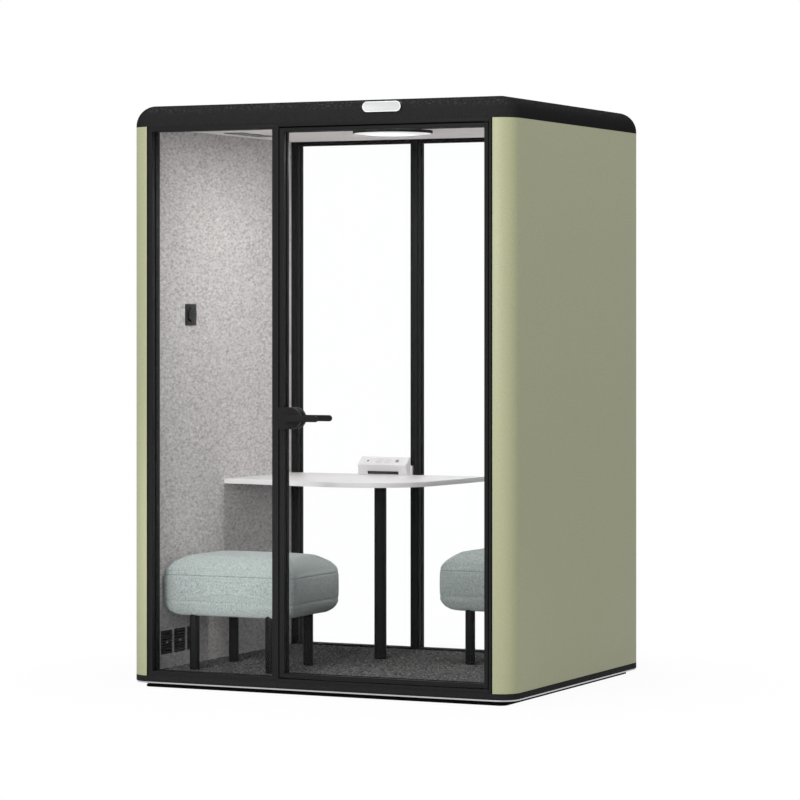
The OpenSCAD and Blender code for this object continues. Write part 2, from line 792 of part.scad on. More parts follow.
// Beads behind the door glass; the one on the lock side stops at the lock plate
module door_beads() color(black_metal) difference() {
    in = rebate - joint_gap;
    bar_ring([leaf_x0 + lock_stile_w - in, leaf_z0 + bottom_rail_h - in],
        [leaf_x1 - hinge_stile_w + in, leaf_z1 - top_rail_h + in],
        glass_y1, leaf_y, door_bead_w, door_bead_w, door_bead_w, door_bead_w);
    span([leaf_x0, glass_y1 - 1, lock_z - lock_plate_h / 2 - joint_gap],
        [lever_x, leaf_y + 1, lock_z + lock_plate_h / 2 + joint_gap]);
}

// Lock plate's outline from x0 to its round end, between two Y faces
module plate_outline(x0, y0, y1) {
    r = lock_plate_h / 2;
    span([x0, y0, lock_z - r], [lever_x, y1, lock_z + r]);
    intersection() {
        rod_y(lever_x, lock_z, y0, y1, r);
        span([x0, y0, lock_z - r], [lever_x + r, y1, lock_z + r]);
    }
}

// Outer and inner lock plates, each with a pad that reaches the glass
module lock_plates() color(black_metal) {
    pad_x = leaf_x0 + lock_stile_w + joint_gap;
    difference() {
        union() {
            plate_outline(leaf_x0, plate_y0, front_y);
            plate_outline(pad_x, front_y, glass_y0);
            rod_y(lever_x, lock_z, plate_y0 - rose_t, plate_y0, rose_r);
        }
        rod_y(lever_x, lock_z, plate_y0 - rose_t - 1, glass_y0 + 1, neck_r + run_gap);
        bolt_hole(leaf_x0 - 1, leaf_x0 - bolt_out + bolt_len + bolt_out + move_gap);
    }
    difference() {
        union() {
            plate_outline(inner_plate_x0, leaf_y, plate_y1);
            plate_outline(pad_x, glass_y1, leaf_y);
            rod_y(lever_x, lock_z, plate_y1, plate_y1 + rose_t, rose_r);
        }
        rod_y(lever_x, lock_z, glass_y1 - 1, plate_y1 + rose_t + 1, neck_r + run_gap);
    }
}

// One grip, a flat bar with round ends whose middle lies at y
module grip(y) {
    span([lever_x, y - grip_t / 2, lock_z - grip_h / 2],
        [lever_x + grip_len - grip_h / 2, y + grip_t / 2, lock_z + grip_h / 2]);
    for (x = [0, grip_len - grip_h / 2])
        rod_y(lever_x + x, lock_z, y - grip_t / 2, y + grip_t / 2, grip_h / 2);
}

// Both grips on one spindle through the glass
module lever() color(black_metal) {
    for (s = [-1, 1]) grip(leaf_mid_y + s * grip_out);
    rod_y(lever_x, lock_z, leaf_mid_y - grip_out, glass_y0, neck_r);
    rod_y(lever_x, lock_z, glass_y0 - 1, glass_y1 + 1, spindle_r);
    rod_y(lever_x, lock_z, glass_y1, leaf_mid_y + grip_out, neck_r);
}

module latch_bolt() color(bright_metal) span(
    [leaf_x0 - bolt_out, bolt_y - bolt_t / 2, lock_z - bolt_h / 2],
    [leaf_x0 - bolt_out + bolt_len, bolt_y + bolt_t / 2, lock_z + bolt_h / 2]);

// How far back the back frame may reach inside the skin's round corner
back_tongue_y = half_d - corner_r + sqrt(pow(corner_r - skin_t - joint_gap, 2)
    - pow(cabin_x - joint_gap - edge_x, 2));

// Jambs inside the skin's corners, with a lip beside its edge where they are wide
// enough, an upright, a head and a sill
module back_frame() color(black_metal) {
    for (s = [0, 1]) mirror([s, 0, 0]) {
        span([back_edge_x, cabin_y, z_wall], [cabin_x - joint_gap, back_tongue_y, z_roof]);
        if (back_edge_x < edge_x - joint_gap - 1)
            span([back_edge_x, cabin_y, z_wall], [edge_x - joint_gap, half_d, z_roof]);
    }
    in = joint_gap;
    span([-back_edge_x + in, cabin_y, z_wall], [back_edge_x - in, half_d, back_z0]);
    span([-back_edge_x + in, cabin_y, back_z1], [back_edge_x - in, half_d, z_roof]);
    difference() {
        span([mullion_x0, cabin_y, back_z0 + in], [mullion_x1, half_d, back_z1 - in]);
        rod_y((mullion_x0 + mullion_x1) / 2, table_z - table_t / 2, cabin_y - 1,
            cabin_y + table_pin_len, table_pin_r + pin_fit);
    }
}

// The two openings of the back frame, as [x0, x1]
back_bays = [[-back_edge_x + joint_gap, mullion_x0], [mullion_x1, back_edge_x - joint_gap]];

module back_glass() color(glass_tint) for (bay = back_bays)
    span([bay[0] + glass_gap, back_glass_y, back_z0 + glass_gap],
        [bay[1] - glass_gap, back_glass_y + pane_t, back_z1 - glass_gap]);

// Beads on both sides of the back panes
module back_beads() color(black_metal) for (bay = back_bays,
        ys = [[back_glass_y - back_bead_depth, back_glass_y], [back_glass_y + pane_t, half_d]])
    bar_ring([bay[0], back_z0], [bay[1], back_z1], ys[0], ys[1],
        back_bead_w, back_bead_w, back_bead_w, back_bead_w);

module roof_cap() color(black_metal) translate([0, 0, z_roof]) difference() {
    pillow(booth_w, booth_d, corner_r, roof_h, roof_r);
    translate([0, 0, -0.01]) pillow(booth_w - 2 * roof_skin, booth_d - 2 * roof_skin,
        corner_r - roof_skin, roof_h - roof_skin + 0.01, roof_r - roof_skin);
}

// Board over the ceiling, and the rim that stands on the walls and frames
module roof_board() color(core_tan) difference() {
    union() {
        rounded_slab(booth_w - 2 * roof_board_inset, booth_d - 2 * roof_board_inset,
            corner_r - roof_board_inset, z_board, z_fan);
        difference() {
            rounded_slab(booth_w - 2 * roof_board_inset, booth_d - 2 * roof_board_inset,
                corner_r - roof_board_inset, z_roof, z_board);
            span([-cabin_x, -cabin_y, z_roof - 1], [cabin_x, cabin_y, z_board]);
        }
    }
    fan_ways(z_roof - 1, z_fan + 1);
}

// Round air ways under the three fans
module fan_ways(z0, z1) for (y = fan_ys) translate([fan_x, y, z0])
    cylinder(r = fan_bore_r, h = z1 - z0);

module ceiling_felt() color(felt_grey) difference() {
    span([-cabin_x, -cabin_y, z_ceiling], [cabin_x, cabin_y, z_board]);
    fan_ways(z_ceiling - 1, z_board + 1);
}

// Shallow round tray, open downwards
module lamp_rim() color(black_metal) difference() {
    translate([lamp_x, 0, z_ceiling - lamp_h]) cylinder(r = lamp_r, h = lamp_h);
    translate([lamp_x, 0, z_ceiling - lamp_h - 1])
        cylinder(r = lamp_r - lamp_wall, h = lamp_h - lamp_wall / 2 + 1);
}

// Shallow dome of frosted plastic, turned from the profile of a large ball
module lamp_diffuser() color(white_plastic) {
    r = lamp_r - lamp_wall - move_gap;
    ball_r = (r * r + lamp_bulge * lamp_bulge) / (2 * lamp_bulge);
    half_angle = asin(r / ball_r);
    translate([lamp_x, 0, z_ceiling - lamp_h]) rotate_extrude() polygon(concat(
        [for (i = [0:14]) let (a = half_angle * i / 14)
            [ball_r * sin(a), ball_r - lamp_bulge - ball_r * cos(a)]],
        [[r, lamp_wall / 2], [0, lamp_wall / 2]]));
}

// Ring board with its light sources, under the tray's top
module led_board() color(white_plastic)
        translate([lamp_x, 0, z_ceiling - lamp_wall / 2 - 2]) {
    cylinder(r = lamp_r - 3 * lamp_wall, h = 2);
    for (i = [0:23]) rotate([0, 0, 15 * i]) translate([lamp_r * 0.7, -2.5, -1]) cube([5, 5, 1]);
}

// Rim with slats across it, flat, middle at the origin, slats along the second size
module grille(w, l) {
    inner = w - 2 * grille_rim;
    slot = (inner - (grille_slots - 1) * slat_w) / grille_slots;
    difference() {
        translate([-w / 2, -l / 2, 0]) cube([w, l, grille_t]);
        for (i = [0:grille_slots - 1])
            translate([-inner / 2 + i * (slot + slat_w), grille_rim - l / 2, -1])
                cube([slot, l - 2 * grille_rim, grille_t + 2]);
        translate([grille_rim - w / 2, grille_rim - l / 2, grille_t * 0.7])
            cube([inner, l - 2 * grille_rim, grille_t]);
    }
    cylinder(r = slat_w * 0.9, h = grille_t);
}

module ceiling_grilles() color(black_metal) for (y = fan_ys)
    translate([fan_x, y, z_ceiling]) mirror([0, 0, 1]) grille(ceiling_grille_w, ceiling_grille_l);

// Square frames with a round air way, and struts that hold the shaft's bearing
module fan_frames() color(dark_rubber) for (y = fan_ys) translate([fan_x, y, z_fan]) {
    difference() {
        translate([-fan_w / 2, -fan_w / 2, 0]) cube([fan_w, fan_w, fan_h]);
        translate([0, 0, -1]) cylinder(r = fan_bore_r, h = fan_h + 2);
    }
    translate([0, 0, fan_h - strut_t]) difference() {
        union() {
            for (a = [0, 90]) rotate([0, 0, a]) translate([-fan_bore_r - 1, -2.5, 0])
                cube([2 * fan_bore_r + 2, 5, strut_t]);
            cylinder(r = fan_hub_r, h = strut_t);
            translate([0, 0, -3]) cylinder(r = fan_shaft_r + 3, h = 3);
        }
        translate([0, 0, -4]) cylinder(r = fan_shaft_r + run_gap, h = strut_t + 5);
    }
}

// Hub, shaft and pitched blades of one fan
module fan_rotor(y) color(black_metal) translate([fan_x, y, z_fan]) {
    hub_h = fan_h - strut_t - 3 - 1 - rotor_gap;
    translate([0, 0, rotor_gap]) cylinder(r = fan_hub_r, h = hub_h);
    translate([0, 0, rotor_gap]) cylinder(r = fan_shaft_r, h = fan_h - rotor_gap - 0.5);
    intersection() {
        translate([0, 0, rotor_gap]) cylinder(r = fan_bore_r - 2, h = hub_h);
        for (i = [0:fan_blades - 1]) rotate([0, 0, 360 * i / fan_blades])
            translate([fan_hub_r - 2, 0, rotor_gap + hub_h / 2]) rotate([38, 0, 0])
                translate([0, -9, -0.8]) cube([fan_bore_r, 18, 1.6]);
    }
}

module fan_rotor_front() fan_rotor(fan_ys[0]);
module fan_rotor_middle() fan_rotor(fan_ys[1]);
module fan_rotor_rear() fan_rotor(fan_ys[2]);

// Bare plate with round ends on the roof's front edge; its back follows the roof
module badge_plate() color(white_plastic) difference() {
    translate([(leaf_x0 + leaf_x1) / 2 - badge_left, 0, z_roof + badge_up + badge_h / 2]) {
        span([-(badge_w - badge_h) / 2, badge_y, -badge_h / 2],
            [(badge_w - badge_h) / 2, badge_y + badge_reach, badge_h / 2]);
        for (s = [-1, 1]) rod_y(s * (badge_w - badge_h) / 2, 0, badge_y, badge_y + badge_reach,
            badge_h / 2);
    }
    rod_x(front_y + roof_r, z_roof + roof_h - roof_r, -half_w, half_w, roof_r);
}
badge_y = front_y + badge_back;
badge_reach = 46;

// Point on a cubic curve
function bezier(p, t) = pow(1 - t, 3) * p[0] + 3 * pow(1 - t, 2) * t * p[1]
    + 3 * (1 - t) * t * t * p[2] + pow(t, 3) * p[3];
function curve(p) = [for (i = [0:curve_steps]) bezier(p, i / curve_steps)];

// Free edge of the table, from the left wall round the nose to the back frame
nose_x = table_x1 - 340;
nose_y = table_y0 - table_bulge;
turn = [table_x1 - 38, nose_y + 248];
table_edge = concat(
    curve([[-cabin_x, table_y0], [-cabin_x + 180, table_y0],
        [nose_x - 200, nose_y], [nose_x, nose_y]]),
    curve([[nose_x, nose_y], [nose_x + 170, nose_y],
        [turn[0] - 14, turn[1] - 130], turn]),
    curve([turn, [turn[0] + 12, turn[1] + 120],
        [table_x1 - 8, cabin_y - 160], [table_x1, cabin_y - table_back_gap]]));

module table_top() color(white_plastic) difference() {
    union() {
        translate([0, 0, table_z - table_t]) linear_extrude(table_t)
            polygon(concat(table_edge, [[-cabin_x, cabin_y - table_back_gap]]));
        span([-cabin_x - table_housed, table_y0, table_z - table_t],
            [-cabin_x + 1, cabin_y - table_back_gap, table_z]);
    }
    for (y = pin_ys) rod_x(y, table_z - table_t / 2, -core_x, -cabin_x + table_pin_len,
        table_pin_r + pin_fit);
    rod_y((mullion_x0 + mullion_x1) / 2, table_z - table_t / 2, cabin_y - table_pin_len,
        cabin_y + 1, table_pin_r + pin_fit);
}

// Steel pins, half in the table and half in the wall or the upright
module table_pins() color(bright_metal) {
    for (y = pin_ys) rod_x(y, table_z - table_t / 2, -core_x - table_pin_len,
        -cabin_x + table_pin_len, table_pin_r);
    rod_y((mullion_x0 + mullion_x1) / 2, table_z - table_t / 2, cabin_y - table_pin_len,
        cabin_y + table_pin_len, table_pin_r);
}

module table_leg() color(black_metal) translate([leg_x, leg_y, 0]) {
    translate([0, 0, z_carpet]) cylinder(r = table_leg_r, h = table_z - table_t - z_carpet);
    translate([0, 0, table_z - table_t - leg_plate_t]) cylinder(r = leg_plate_r, h = leg_plate_t);
}

// Side outline of the socket box, as [y, z] from the foot's front edge
box_outline = [[0, 0], [-box_nose, box_low], [ridge_y, box_high],
    [box_back - 2, box_high - 2], [box_back, box_step], [box_back, 0]];

// Places its children on the box's sloping face: x along the box, y up the slope
module on_slope(x) translate([box_x + x, box_y - box_nose, table_z + box_low])
    rotate([slope_deg, 0, 0]) translate([0, slope_len / 2, 0]) children();

module socket_box() color(white_plastic) difference() {
    union() {
        translate([box_x, box_y, table_z]) rotate([90, 0, 90]) linear_extrude(box_len)
            polygon(box_outline);
        span([box_x - rail_left, box_y + box_foot - rail_depth, table_z],
            [box_x + box_len + rail_right, box_y + box_foot, table_z + rail_h]);
    }
    translate([box_x + 40, box_y - box_nose, table_z + 3]) cube([box_len - 80, box_nose + 12, 13]);
    on_slope(button_x) translate([0, 0, -insert_t - button_travel - 1])
        cylinder(r = button_r + move_gap, h = 20);
    on_slope(port_x) translate([-4, -5, -insert_t]) cube([8, 10, 20]);
    on_slope(pilot_x) translate([0, 0, -insert_t]) cylinder(r = 2, h = 20);
    for (x = outlet_xs) on_slope(x) translate([0, 0, -insert_t]) cylinder(r = 17, h = 20);
}

// Port, pilot lens and the two round outlets, flush in the slope
module socket_inserts() color([0.8, 0.8, 0.8]) {
    on_slope(port_x) translate([-4, -5, -insert_t]) difference() {
        cube([8, 10, insert_t - 0.5]);
        translate([2.5, 2, 1]) cube([3, 6, insert_t]);
    }
    on_slope(pilot_x) translate([0, 0, -insert_t]) cylinder(r = 2, h = insert_t - 0.2);
    for (x = outlet_xs) on_slope(x) translate([0, 0, -insert_t]) difference() {
        cylinder(r = 17, h = insert_t - 0.5);
        for (a = [45:90:315]) rotate([0, 0, a]) translate([9, 0, 1]) cylinder(r = 2.4, h = insert_t);
    }
}

module socket_button() color([0.25, 0.25, 0.26]) on_slope(button_x)
    translate([0, 0, -insert_t]) cylinder(r = button_r, h = insert_t + button_out);

// Grilles on the left wall, with level slats
module wall_grilles() color(bright_metal) for (y = grille_ys)
    translate([-cabin_x, y, wall_grille_z]) rotate([0, 90, 0])
        grille(wall_grille_h, wall_grille_w);

// Air boxes behind the wall grilles, open to the cabin
module wall_ducts() color(dark_rubber) for (y = grille_ys) difference() {
    w = wall_grille_w / 2 - grille_rim - joint_gap;
    t = 1.5;
    span([-core_x - duct_depth, y - w, duct_z0 + joint_gap], [-cabin_x, y + w, duct_z1 - joint_gap]);
    span([-core_x - duct_depth + t, y - w + t, duct_z0 + joint_gap + t],
        [-cabin_x + 1, y + w - t, duct_z1 - joint_gap - t]);
}

module switch_plate() color(dark_rubber) difference() {
    span([-cabin_x, switch_y - switch_w / 2, switch_z - switch_w / 2],
        [-cabin_x + switch_t, switch_y + switch_w / 2, switch_z + switch_w / 2]);
    rod_x(switch_y, switch_z, -cabin_x + 2, -cabin_x + switch_t + 1, knob_shaft_r + run_gap);
}

// Round knob with an index notch in its rim
module switch_knob() color(black_metal) difference() {
    union() {
        rod_x(switch_y, switch_z, -cabin_x + switch_t + move_gap,
            -cabin_x + switch_t + knob_t, knob_r);
        rod_x(switch_y, switch_z, -cabin_x + 3, -cabin_x + switch_t + 1, knob_shaft_r);
    }
    translate([-cabin_x + switch_t + knob_t - 1.5, switch_y - 1, switch_z + knob_r * 0.55])
        cube([3, 2, knob_r]);
}

// Corner of a seat's plan that number q names, as signs of x and y
function corner_sign(q) = [(q % 4 == 0 || q % 4 == 3) ? 1 : -1, q % 4 < 2 ? 1 : -1];

// Ring of points round a seat: round corners with sides that pull in between them
function seat_ring(inset, z) = let (
        hx = stool_w / 2 - inset, hy = stool_d / 2 - inset,
        r = min(seat_corner_r + 0.45 * inset, hy - 6), c = [hx - r, hy - r])
    [for (q = [0:3]) let (s = corner_sign(q), n = corner_sign(q + 1), a1 = 90 * (q + 1),
            out = [cos(a1), sin(a1)])
        each concat(
            [for (i = [0:corner_steps]) let (a = 90 * (q + i / corner_steps))
                [s[0] * c[0] + r * cos(a), s[1] * c[1] + r * sin(a), z]],
            [for (j = [1:side_steps]) let (t = j / (side_steps + 1),
                    pull = seat_pull * sin(180 * t),
                    m = [s[0] * c[0] * (1 - t) + n[0] * c[0] * t,
                        s[1] * c[1] * (1 - t) + n[1] * c[1] * t])
                [m[0] + out[0] * (r - pull), m[1] + out[1] * (r - pull), z]])];

// Side profile of a seat from its flat underside to its crown, as [inset, height]
z_low_seam = seat_under;
z_high_seam = seat_under + seat_band;
seam_half = 4;
seat_profile = concat(
    [for (a = [0, 22, 44, 62, 78]) [under_in * (1 - sin(a)), seat_under * (1 - cos(a))]],
    [[seam_depth, z_low_seam], [0.6, z_low_seam + seam_half]],
    [[0, z_low_seam + seat_band / 2]],
    [[0.6, z_high_seam - seam_half], [seam_depth, z_high_seam]],
    [for (a = [9, 20, 32, 44, 56, 68, 80])
        [dome_in * (1 - cos(a)), z_high_seam + seat_dome * sin(a)]],
    [[dome_in + 30, z_high_seam + seat_dome + seat_crown * 0.35],
        [dome_in + 75, z_high_seam + seat_dome + seat_crown * 0.75]]);

// Padded seat with two sewn seams, a domed top, pulled-in sides and sockets for legs
module seat() {
    rings = [for (p = seat_profile) seat_ring(p[0], p[1])];
    count = len(rings[0]);
    last = len(rings) - 1;
    points = concat([for (ring = rings) each ring], [[0, 0, 0], [0, 0, seat_h]]);
    under = count * (last + 1);
    faces = concat(
        [for (k = [0:last - 1], i = [0:count - 1]) let (j = (i + 1) % count)
            each [[k * count + i, (k + 1) * count + i, (k + 1) * count + j],
                [k * count + i, (k + 1) * count + j, k * count + j]]],
        [for (i = [0:count - 1]) [under, i, (i + 1) % count]],
        [for (i = [0:count - 1]) [under + 1, last * count + (i + 1) % count, last * count + i]]);
    difference() {
        polyhedron(points, faces);
        at_legs() translate([0, 0, -1]) cylinder(r = stool_leg_r + pin_fit, h = leg_socket + 1);
    }
}

// Places its children where the legs of a stool are
module at_legs() for (sx = [-1, 1], sy = [-1, 1])
    translate([sx * stool_leg_w / 2, sy * stool_leg_d / 2, 0]) children();

// Four round legs, from the carpet into the sockets in the seat's underside
module stool_legs() at_legs() translate([0, 0, z_carpet])
    cylinder(r = stool_leg_r, h = seat_bottom + leg_socket - z_carpet);

module left_stool_seat() color(seat_fabric)
    translate([left_stool[0], left_stool[1], seat_bottom]) seat();
module left_stool_legs() color(black_metal)
    translate([left_stool[0], left_stool[1], 0]) stool_legs();
module right_stool_seat() color(seat_fabric)
    translate([right_stool[0], right_stool[1], seat_bottom]) seat();
module right_stool_legs() color(black_metal)
    translate([right_stool[0], right_stool[1], 0]) stool_legs();

plinth();
base_trim();
base_frame();
floor_deck();
carpet();
left_side_shell();
right_side_shell();
corner_posts();
left_wall_core();
right_wall_core();
left_felt();
right_felt();
joint_seals();
front_jambs();
front_head();
centre_post();
front_sill();
fixed_glass();
fixed_beads();
door_stops();
door_seals();
strike_plate();
door_pivots();
door_frame();
door_glass();
door_beads();
lock_plates();
pivot_bushes();
lever();
latch_bolt();
back_frame();
back_glass();
back_beads();
roof_cap();
roof_board();
ceiling_felt();
lamp_rim();
lamp_diffuser();
led_board();
ceiling_grilles();
fan_frames();
fan_rotor_front();
fan_rotor_middle();
fan_rotor_rear();
badge_plate();
table_top();
table_pins();
table_leg();
socket_box();
socket_inserts();
socket_button();
wall_grilles();
wall_ducts();
switch_plate();
switch_knob();
left_stool_seat();
left_stool_legs();
right_stool_seat();
right_stool_legs();
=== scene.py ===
"""Dresses the soundproof recording booth: finishes, padded stools, fittings, lamps and camera."""

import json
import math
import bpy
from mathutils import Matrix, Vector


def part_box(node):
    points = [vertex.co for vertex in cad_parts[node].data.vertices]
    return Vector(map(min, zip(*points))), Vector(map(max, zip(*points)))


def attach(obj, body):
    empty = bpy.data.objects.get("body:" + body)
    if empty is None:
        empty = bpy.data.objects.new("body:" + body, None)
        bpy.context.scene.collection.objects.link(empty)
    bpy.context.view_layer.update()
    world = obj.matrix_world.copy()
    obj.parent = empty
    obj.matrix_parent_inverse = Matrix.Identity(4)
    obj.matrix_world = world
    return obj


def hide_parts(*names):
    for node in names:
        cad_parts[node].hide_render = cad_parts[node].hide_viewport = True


bl_info = {
    "name": "Soundproof recording booth",
    "version": (1, 0, 0),
    "blender": (4, 5, 0),
    "location": "View3D > Sidebar > Booth",
    "description": "Builds the finished look of a glazed two-seat booth around its packed frame",
    "category": "Object",
}

import bmesh
import bpy
import numpy as np
from mathutils import Matrix, Vector

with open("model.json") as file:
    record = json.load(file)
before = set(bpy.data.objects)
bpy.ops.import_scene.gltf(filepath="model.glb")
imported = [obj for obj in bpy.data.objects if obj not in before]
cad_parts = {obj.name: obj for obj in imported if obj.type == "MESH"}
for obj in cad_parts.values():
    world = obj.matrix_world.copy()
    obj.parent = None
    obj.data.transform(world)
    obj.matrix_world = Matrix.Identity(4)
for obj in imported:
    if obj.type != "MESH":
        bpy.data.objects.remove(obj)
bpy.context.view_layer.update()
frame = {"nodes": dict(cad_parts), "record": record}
NODE_BODY = {
    node: body
    for body, members in frame["record"]["behaviour"]["bodies"].items()
    for node in members
}


# -------------------- sizes and colours


def number(name, description, default, unit="LENGTH"):
    """A number with its unit, which is metres unless another is named."""
    return bpy.props.FloatProperty(name=name, description=description, default=default,
                                   unit=unit)


def swatch(name, description, default):
    return bpy.props.FloatVectorProperty(name=name, description=description, default=default,
                                         subtype="COLOR", size=3)


class BoothSizes(bpy.types.PropertyGroup):
    metal_edge: number("Metal edge", "Radius along the edges of the steel and aluminium", 0.0005)
    sheet_edge: number("Sheet edge", "Radius along the edges of the side skins", 0.0006)
    board_edge: number("Table edge", "Radius along the edges of the table top", 0.0022)
    plastic_edge: number("Plastic edge", "Radius along the edges of moulded covers", 0.0030)
    grip_edge: number("Grip edge", "Radius along the edges of the door's lever", 0.0032)
    cushion_grain: number("Cushion grain", "Size of the cells that a seat is remeshed to", 0.0062)
    cushion_start: number("Cushion start", "How much smaller a seat starts, larger if minus",
                          -0.002)
    under_inset: number("Underside inset",
                        "How far a seat's solid draws in at its underside", 0.062)
    under_fill: number("Underside fill", "Share of that inset that the filling takes up", 0.70,
                       "NONE")
    dome_inset: number("Dome inset", "How far a seat's solid draws in at its top", 0.080)
    dome_height: number("Dome height", "Height over the upper seam at which it has done so", 0.064)
    dome_fill: number("Dome fill", "Share of that inset that the filling takes up", 0.28, "NONE")
    leg_across: number("Legs across", "Distance between a stool's legs from left to right", 0.340)
    leg_along: number("Legs along", "Distance between a stool's legs from front to back", 0.330)
    socket_reach: number("Socket reach", "Radius within which a leg's socket lies", 0.0215)
    cushion_swell: number("Cushion swell", "Farthest that the filling may push the cover", 0.008)
    cushion_pressure: number("Cushion pressure", "Pressure of the filling", 4.0, "NONE")
    seam_depth: number("Seam depth", "How far a seam pulls the cover in", 0.0020)
    seam_reach: number("Seam reach", "How far from a seam the cover is drawn in", 0.008)
    # The dark line along a seam is painted shade.
    seam_shade: number("Seam line", "Half the width of the dark line along a seam", 0.0014)
    low_seam: number("Lower seam", "Height of the lower seam over a seat's underside", 0.060)
    high_seam: number("Upper seam", "Height of the upper seam over a seat's underside", 0.162)
    grille_rim: number("Grille rim", "Width of the rim round a grille", 0.0085)
    slat_tilt: number("Slat tilt", "How far the slats of a grille lean", 0.62, "ROTATION")
    slats: bpy.props.IntProperty(
        name="Slats", description="Number of slats across a grille", default=8)
    inlet_pitch: number("Inlet pitch", "Distance between two wall grilles", 0.108)
    fan_pitch: number("Fan pitch", "Distance between two ceiling grilles", 0.113)
    pile_pitch: number("Pile pitch", "Distance between two loops of the carpet", 0.0056)
    pile_depth: number("Pile depth", "How much the loops of the carpet differ in height", 0.012)
    pile_lump: number("Pile lump", "Size of the lumps in the carpet's pile", 0.007)


class BoothColours(bpy.types.PropertyGroup):
    black_coat: swatch("Black coat", "Powder coat of the frames and the roof",
                       (0.0170, 0.0170, 0.0172))
    sage_coat: swatch("Sage coat", "Powder coat of the side skins", (0.415, 0.423, 0.255))
    felt: swatch("Felt", "Wall and ceiling felt", (0.585, 0.558, 0.551))
    felt_fleck: swatch("Felt fleck", "Dark fibres in the felt", (0.24, 0.232, 0.232))
    carpet: swatch("Carpet", "Pile of the carpet", (0.0545, 0.0538, 0.0524))
    cloth: swatch("Seat cloth", "Light yarn of the seat cloth", (0.465, 0.515, 0.50))
    cloth_dark: swatch("Seat cloth, dark yarn", "Dark yarn of the seat cloth",
                       (0.225, 0.262, 0.252))
    table: swatch("Table", "Laminate of the table top", (0.69, 0.675, 0.68))
    cover: swatch("Socket box", "Moulded cover of the socket box", (0.68, 0.665, 0.67))
    badge: swatch("Badge", "Plate over the door", (0.63, 0.63, 0.63))


# Small forms, in metres.
# Where the roof's painted highlight flecks begin and where they reach full strength.
GLINTS_BEGIN = 0.042  # below the top of the roof
GLINTS_FULL = 0.018
BADGE_RIM = 0.0032
BADGE_HOLLOW = 0.0014
# Behind this depth the badge's side is painted black, as painted shade.
BADGE_FRONT = 0.0022  # behind this depth its side is black
RING_EDGE = 0.004
SLAT_WIDTH = 0.0072
SLAT_THICK = 0.0012
GRILLE_EDGE = 0.0012
SLAT_EDGE = 0.0004
SCREW_RADIUS = 0.0046
SCREW_RIM = 0.0017
SCREW_HOLLOW = 0.0013
SLOT_FROM_SIDE = 0.038
SLOT_TOP = 0.0165
DARK_INSERT = 0.009  # width of the black insert at the left
HELD_AT_SEAM = 0.007  # reach within which a seam holds the cover
HELD_AT_UNDERSIDE = 0.008

FILLING_STEPS = 20


# -------------------- finishes


class Nodes:
    """A tree of shader nodes."""

    def __init__(self, tree):
        self.tree = tree

    def put(self, value, socket):
        """Links an output to that socket, or sets it to a value; a colour needs no alpha."""
        if isinstance(value, bpy.types.NodeSocket):
            self.tree.links.new(value, socket)
        elif socket.type == "RGBA":
            socket.default_value = (*value, 1.0)[:4]
        else:
            socket.default_value = value

    def add(self, kind, inputs=None, **settings):
        node = self.tree.nodes.new(kind)
        for key, value in settings.items():
            setattr(node, key, value)
        for key, value in (inputs or {}).items():
            self.put(value, node.inputs[key])
        return node

    def maths(self, first, second, operation="ADD"):
        return self.add("ShaderNodeMath", {0: first, 1: second}, operation=operation).outputs[0]

    def seen(self):
        """One where the camera looks straight at it, in a reflection or through glass."""
        path = self.add("ShaderNodeLightPath").outputs
        straight = self.maths(path["Is Camera Ray"], path["Is Glossy Ray"], "MAXIMUM")
        return self.maths(straight, path["Is Transmission Ray"], "MAXIMUM")


class Finish(Nodes):
    """A procedural material. Its textures read object coordinates in metres."""

    def __init__(self, name):
        self.material = bpy.data.materials.new(name)
        self.material.use_nodes = True
        super().__init__(self.material.node_tree)
        self.shader = self.tree.nodes["Principled BSDF"]
        self.place = self.add("ShaderNodeTexCoord").outputs["Object"]
        self.normal = None

    def stretched(self, scale):
        return self.add("ShaderNodeMapping", {"Vector": self.place, "Scale": scale}).outputs[0]

    def noise(self, scale, detail=2.0, roughness=0.5, distortion=0.0, place=None):
        return self.add("ShaderNodeTexNoise", {
            "Vector": place or self.place, "Scale": scale, "Detail": detail,
            "Roughness": roughness, "Distortion": distortion}).outputs["Fac"]

    def cells(self, scale):
        return self.add("ShaderNodeTexVoronoi", {
            "Vector": self.place, "Scale": scale}).outputs["Distance"]

    def bands(self, scale, direction, distortion):
        return self.add("ShaderNodeTexWave", {
            "Vector": self.place, "Scale": scale, "Distortion": distortion},
            bands_direction=direction).outputs["Fac"]

    def spread(self, value, low, high, out_low=0.0, out_high=1.0):
        return self.add("ShaderNodeMapRange", {
            "Value": value, "From Min": low, "From Max": high,
            "To Min": out_low, "To Max": out_high}).outputs["Result"]

    def blend(self, amount, first, second):
        return self.add("ShaderNodeMix", {"Factor": amount, 6: first, 7: second},
                        data_type="RGBA").outputs[2]

    def colour(self, value):
        self.put(value, self.shader.inputs["Base Color"])

    def mottle(self, amount, colour, low, high):
        """Colours the surface with darker and lighter shades of one colour."""
        self.colour(self.blend(amount, shade(colour, low), shade(colour, high)))

    def set(self, **values):
        for key, value in values.items():
            self.shader.inputs[key.replace("_", " ")].default_value = value

    def rough(self, value):
        self.put(value, self.shader.inputs["Roughness"])

    def relief(self, height, distance, strength=1.0):
        """Adds a bump, on top of the bumps there are."""
        inputs = {"Height": height, "Distance": distance, "Strength": strength}
        if self.normal is not None:
            inputs["Normal"] = self.normal
        self.normal = self.add("ShaderNodeBump", inputs).outputs["Normal"]
        self.put(self.normal, self.shader.inputs["Normal"])

    def surface(self, shader):
        """Puts another shader in the place of the principled one."""
        self.tree.nodes.remove(self.shader)
        self.put(shader.outputs[0], self.tree.nodes["Material Output"].inputs["Surface"])


def shade(colour, factor):
    return tuple(min(1.0, c * factor) for c in colour)


FINISHES = {}
MAKERS = {}


def maker(function):
    """Notes a function that makes a finish from the colours."""
    MAKERS[function.__name__] = function
    return function


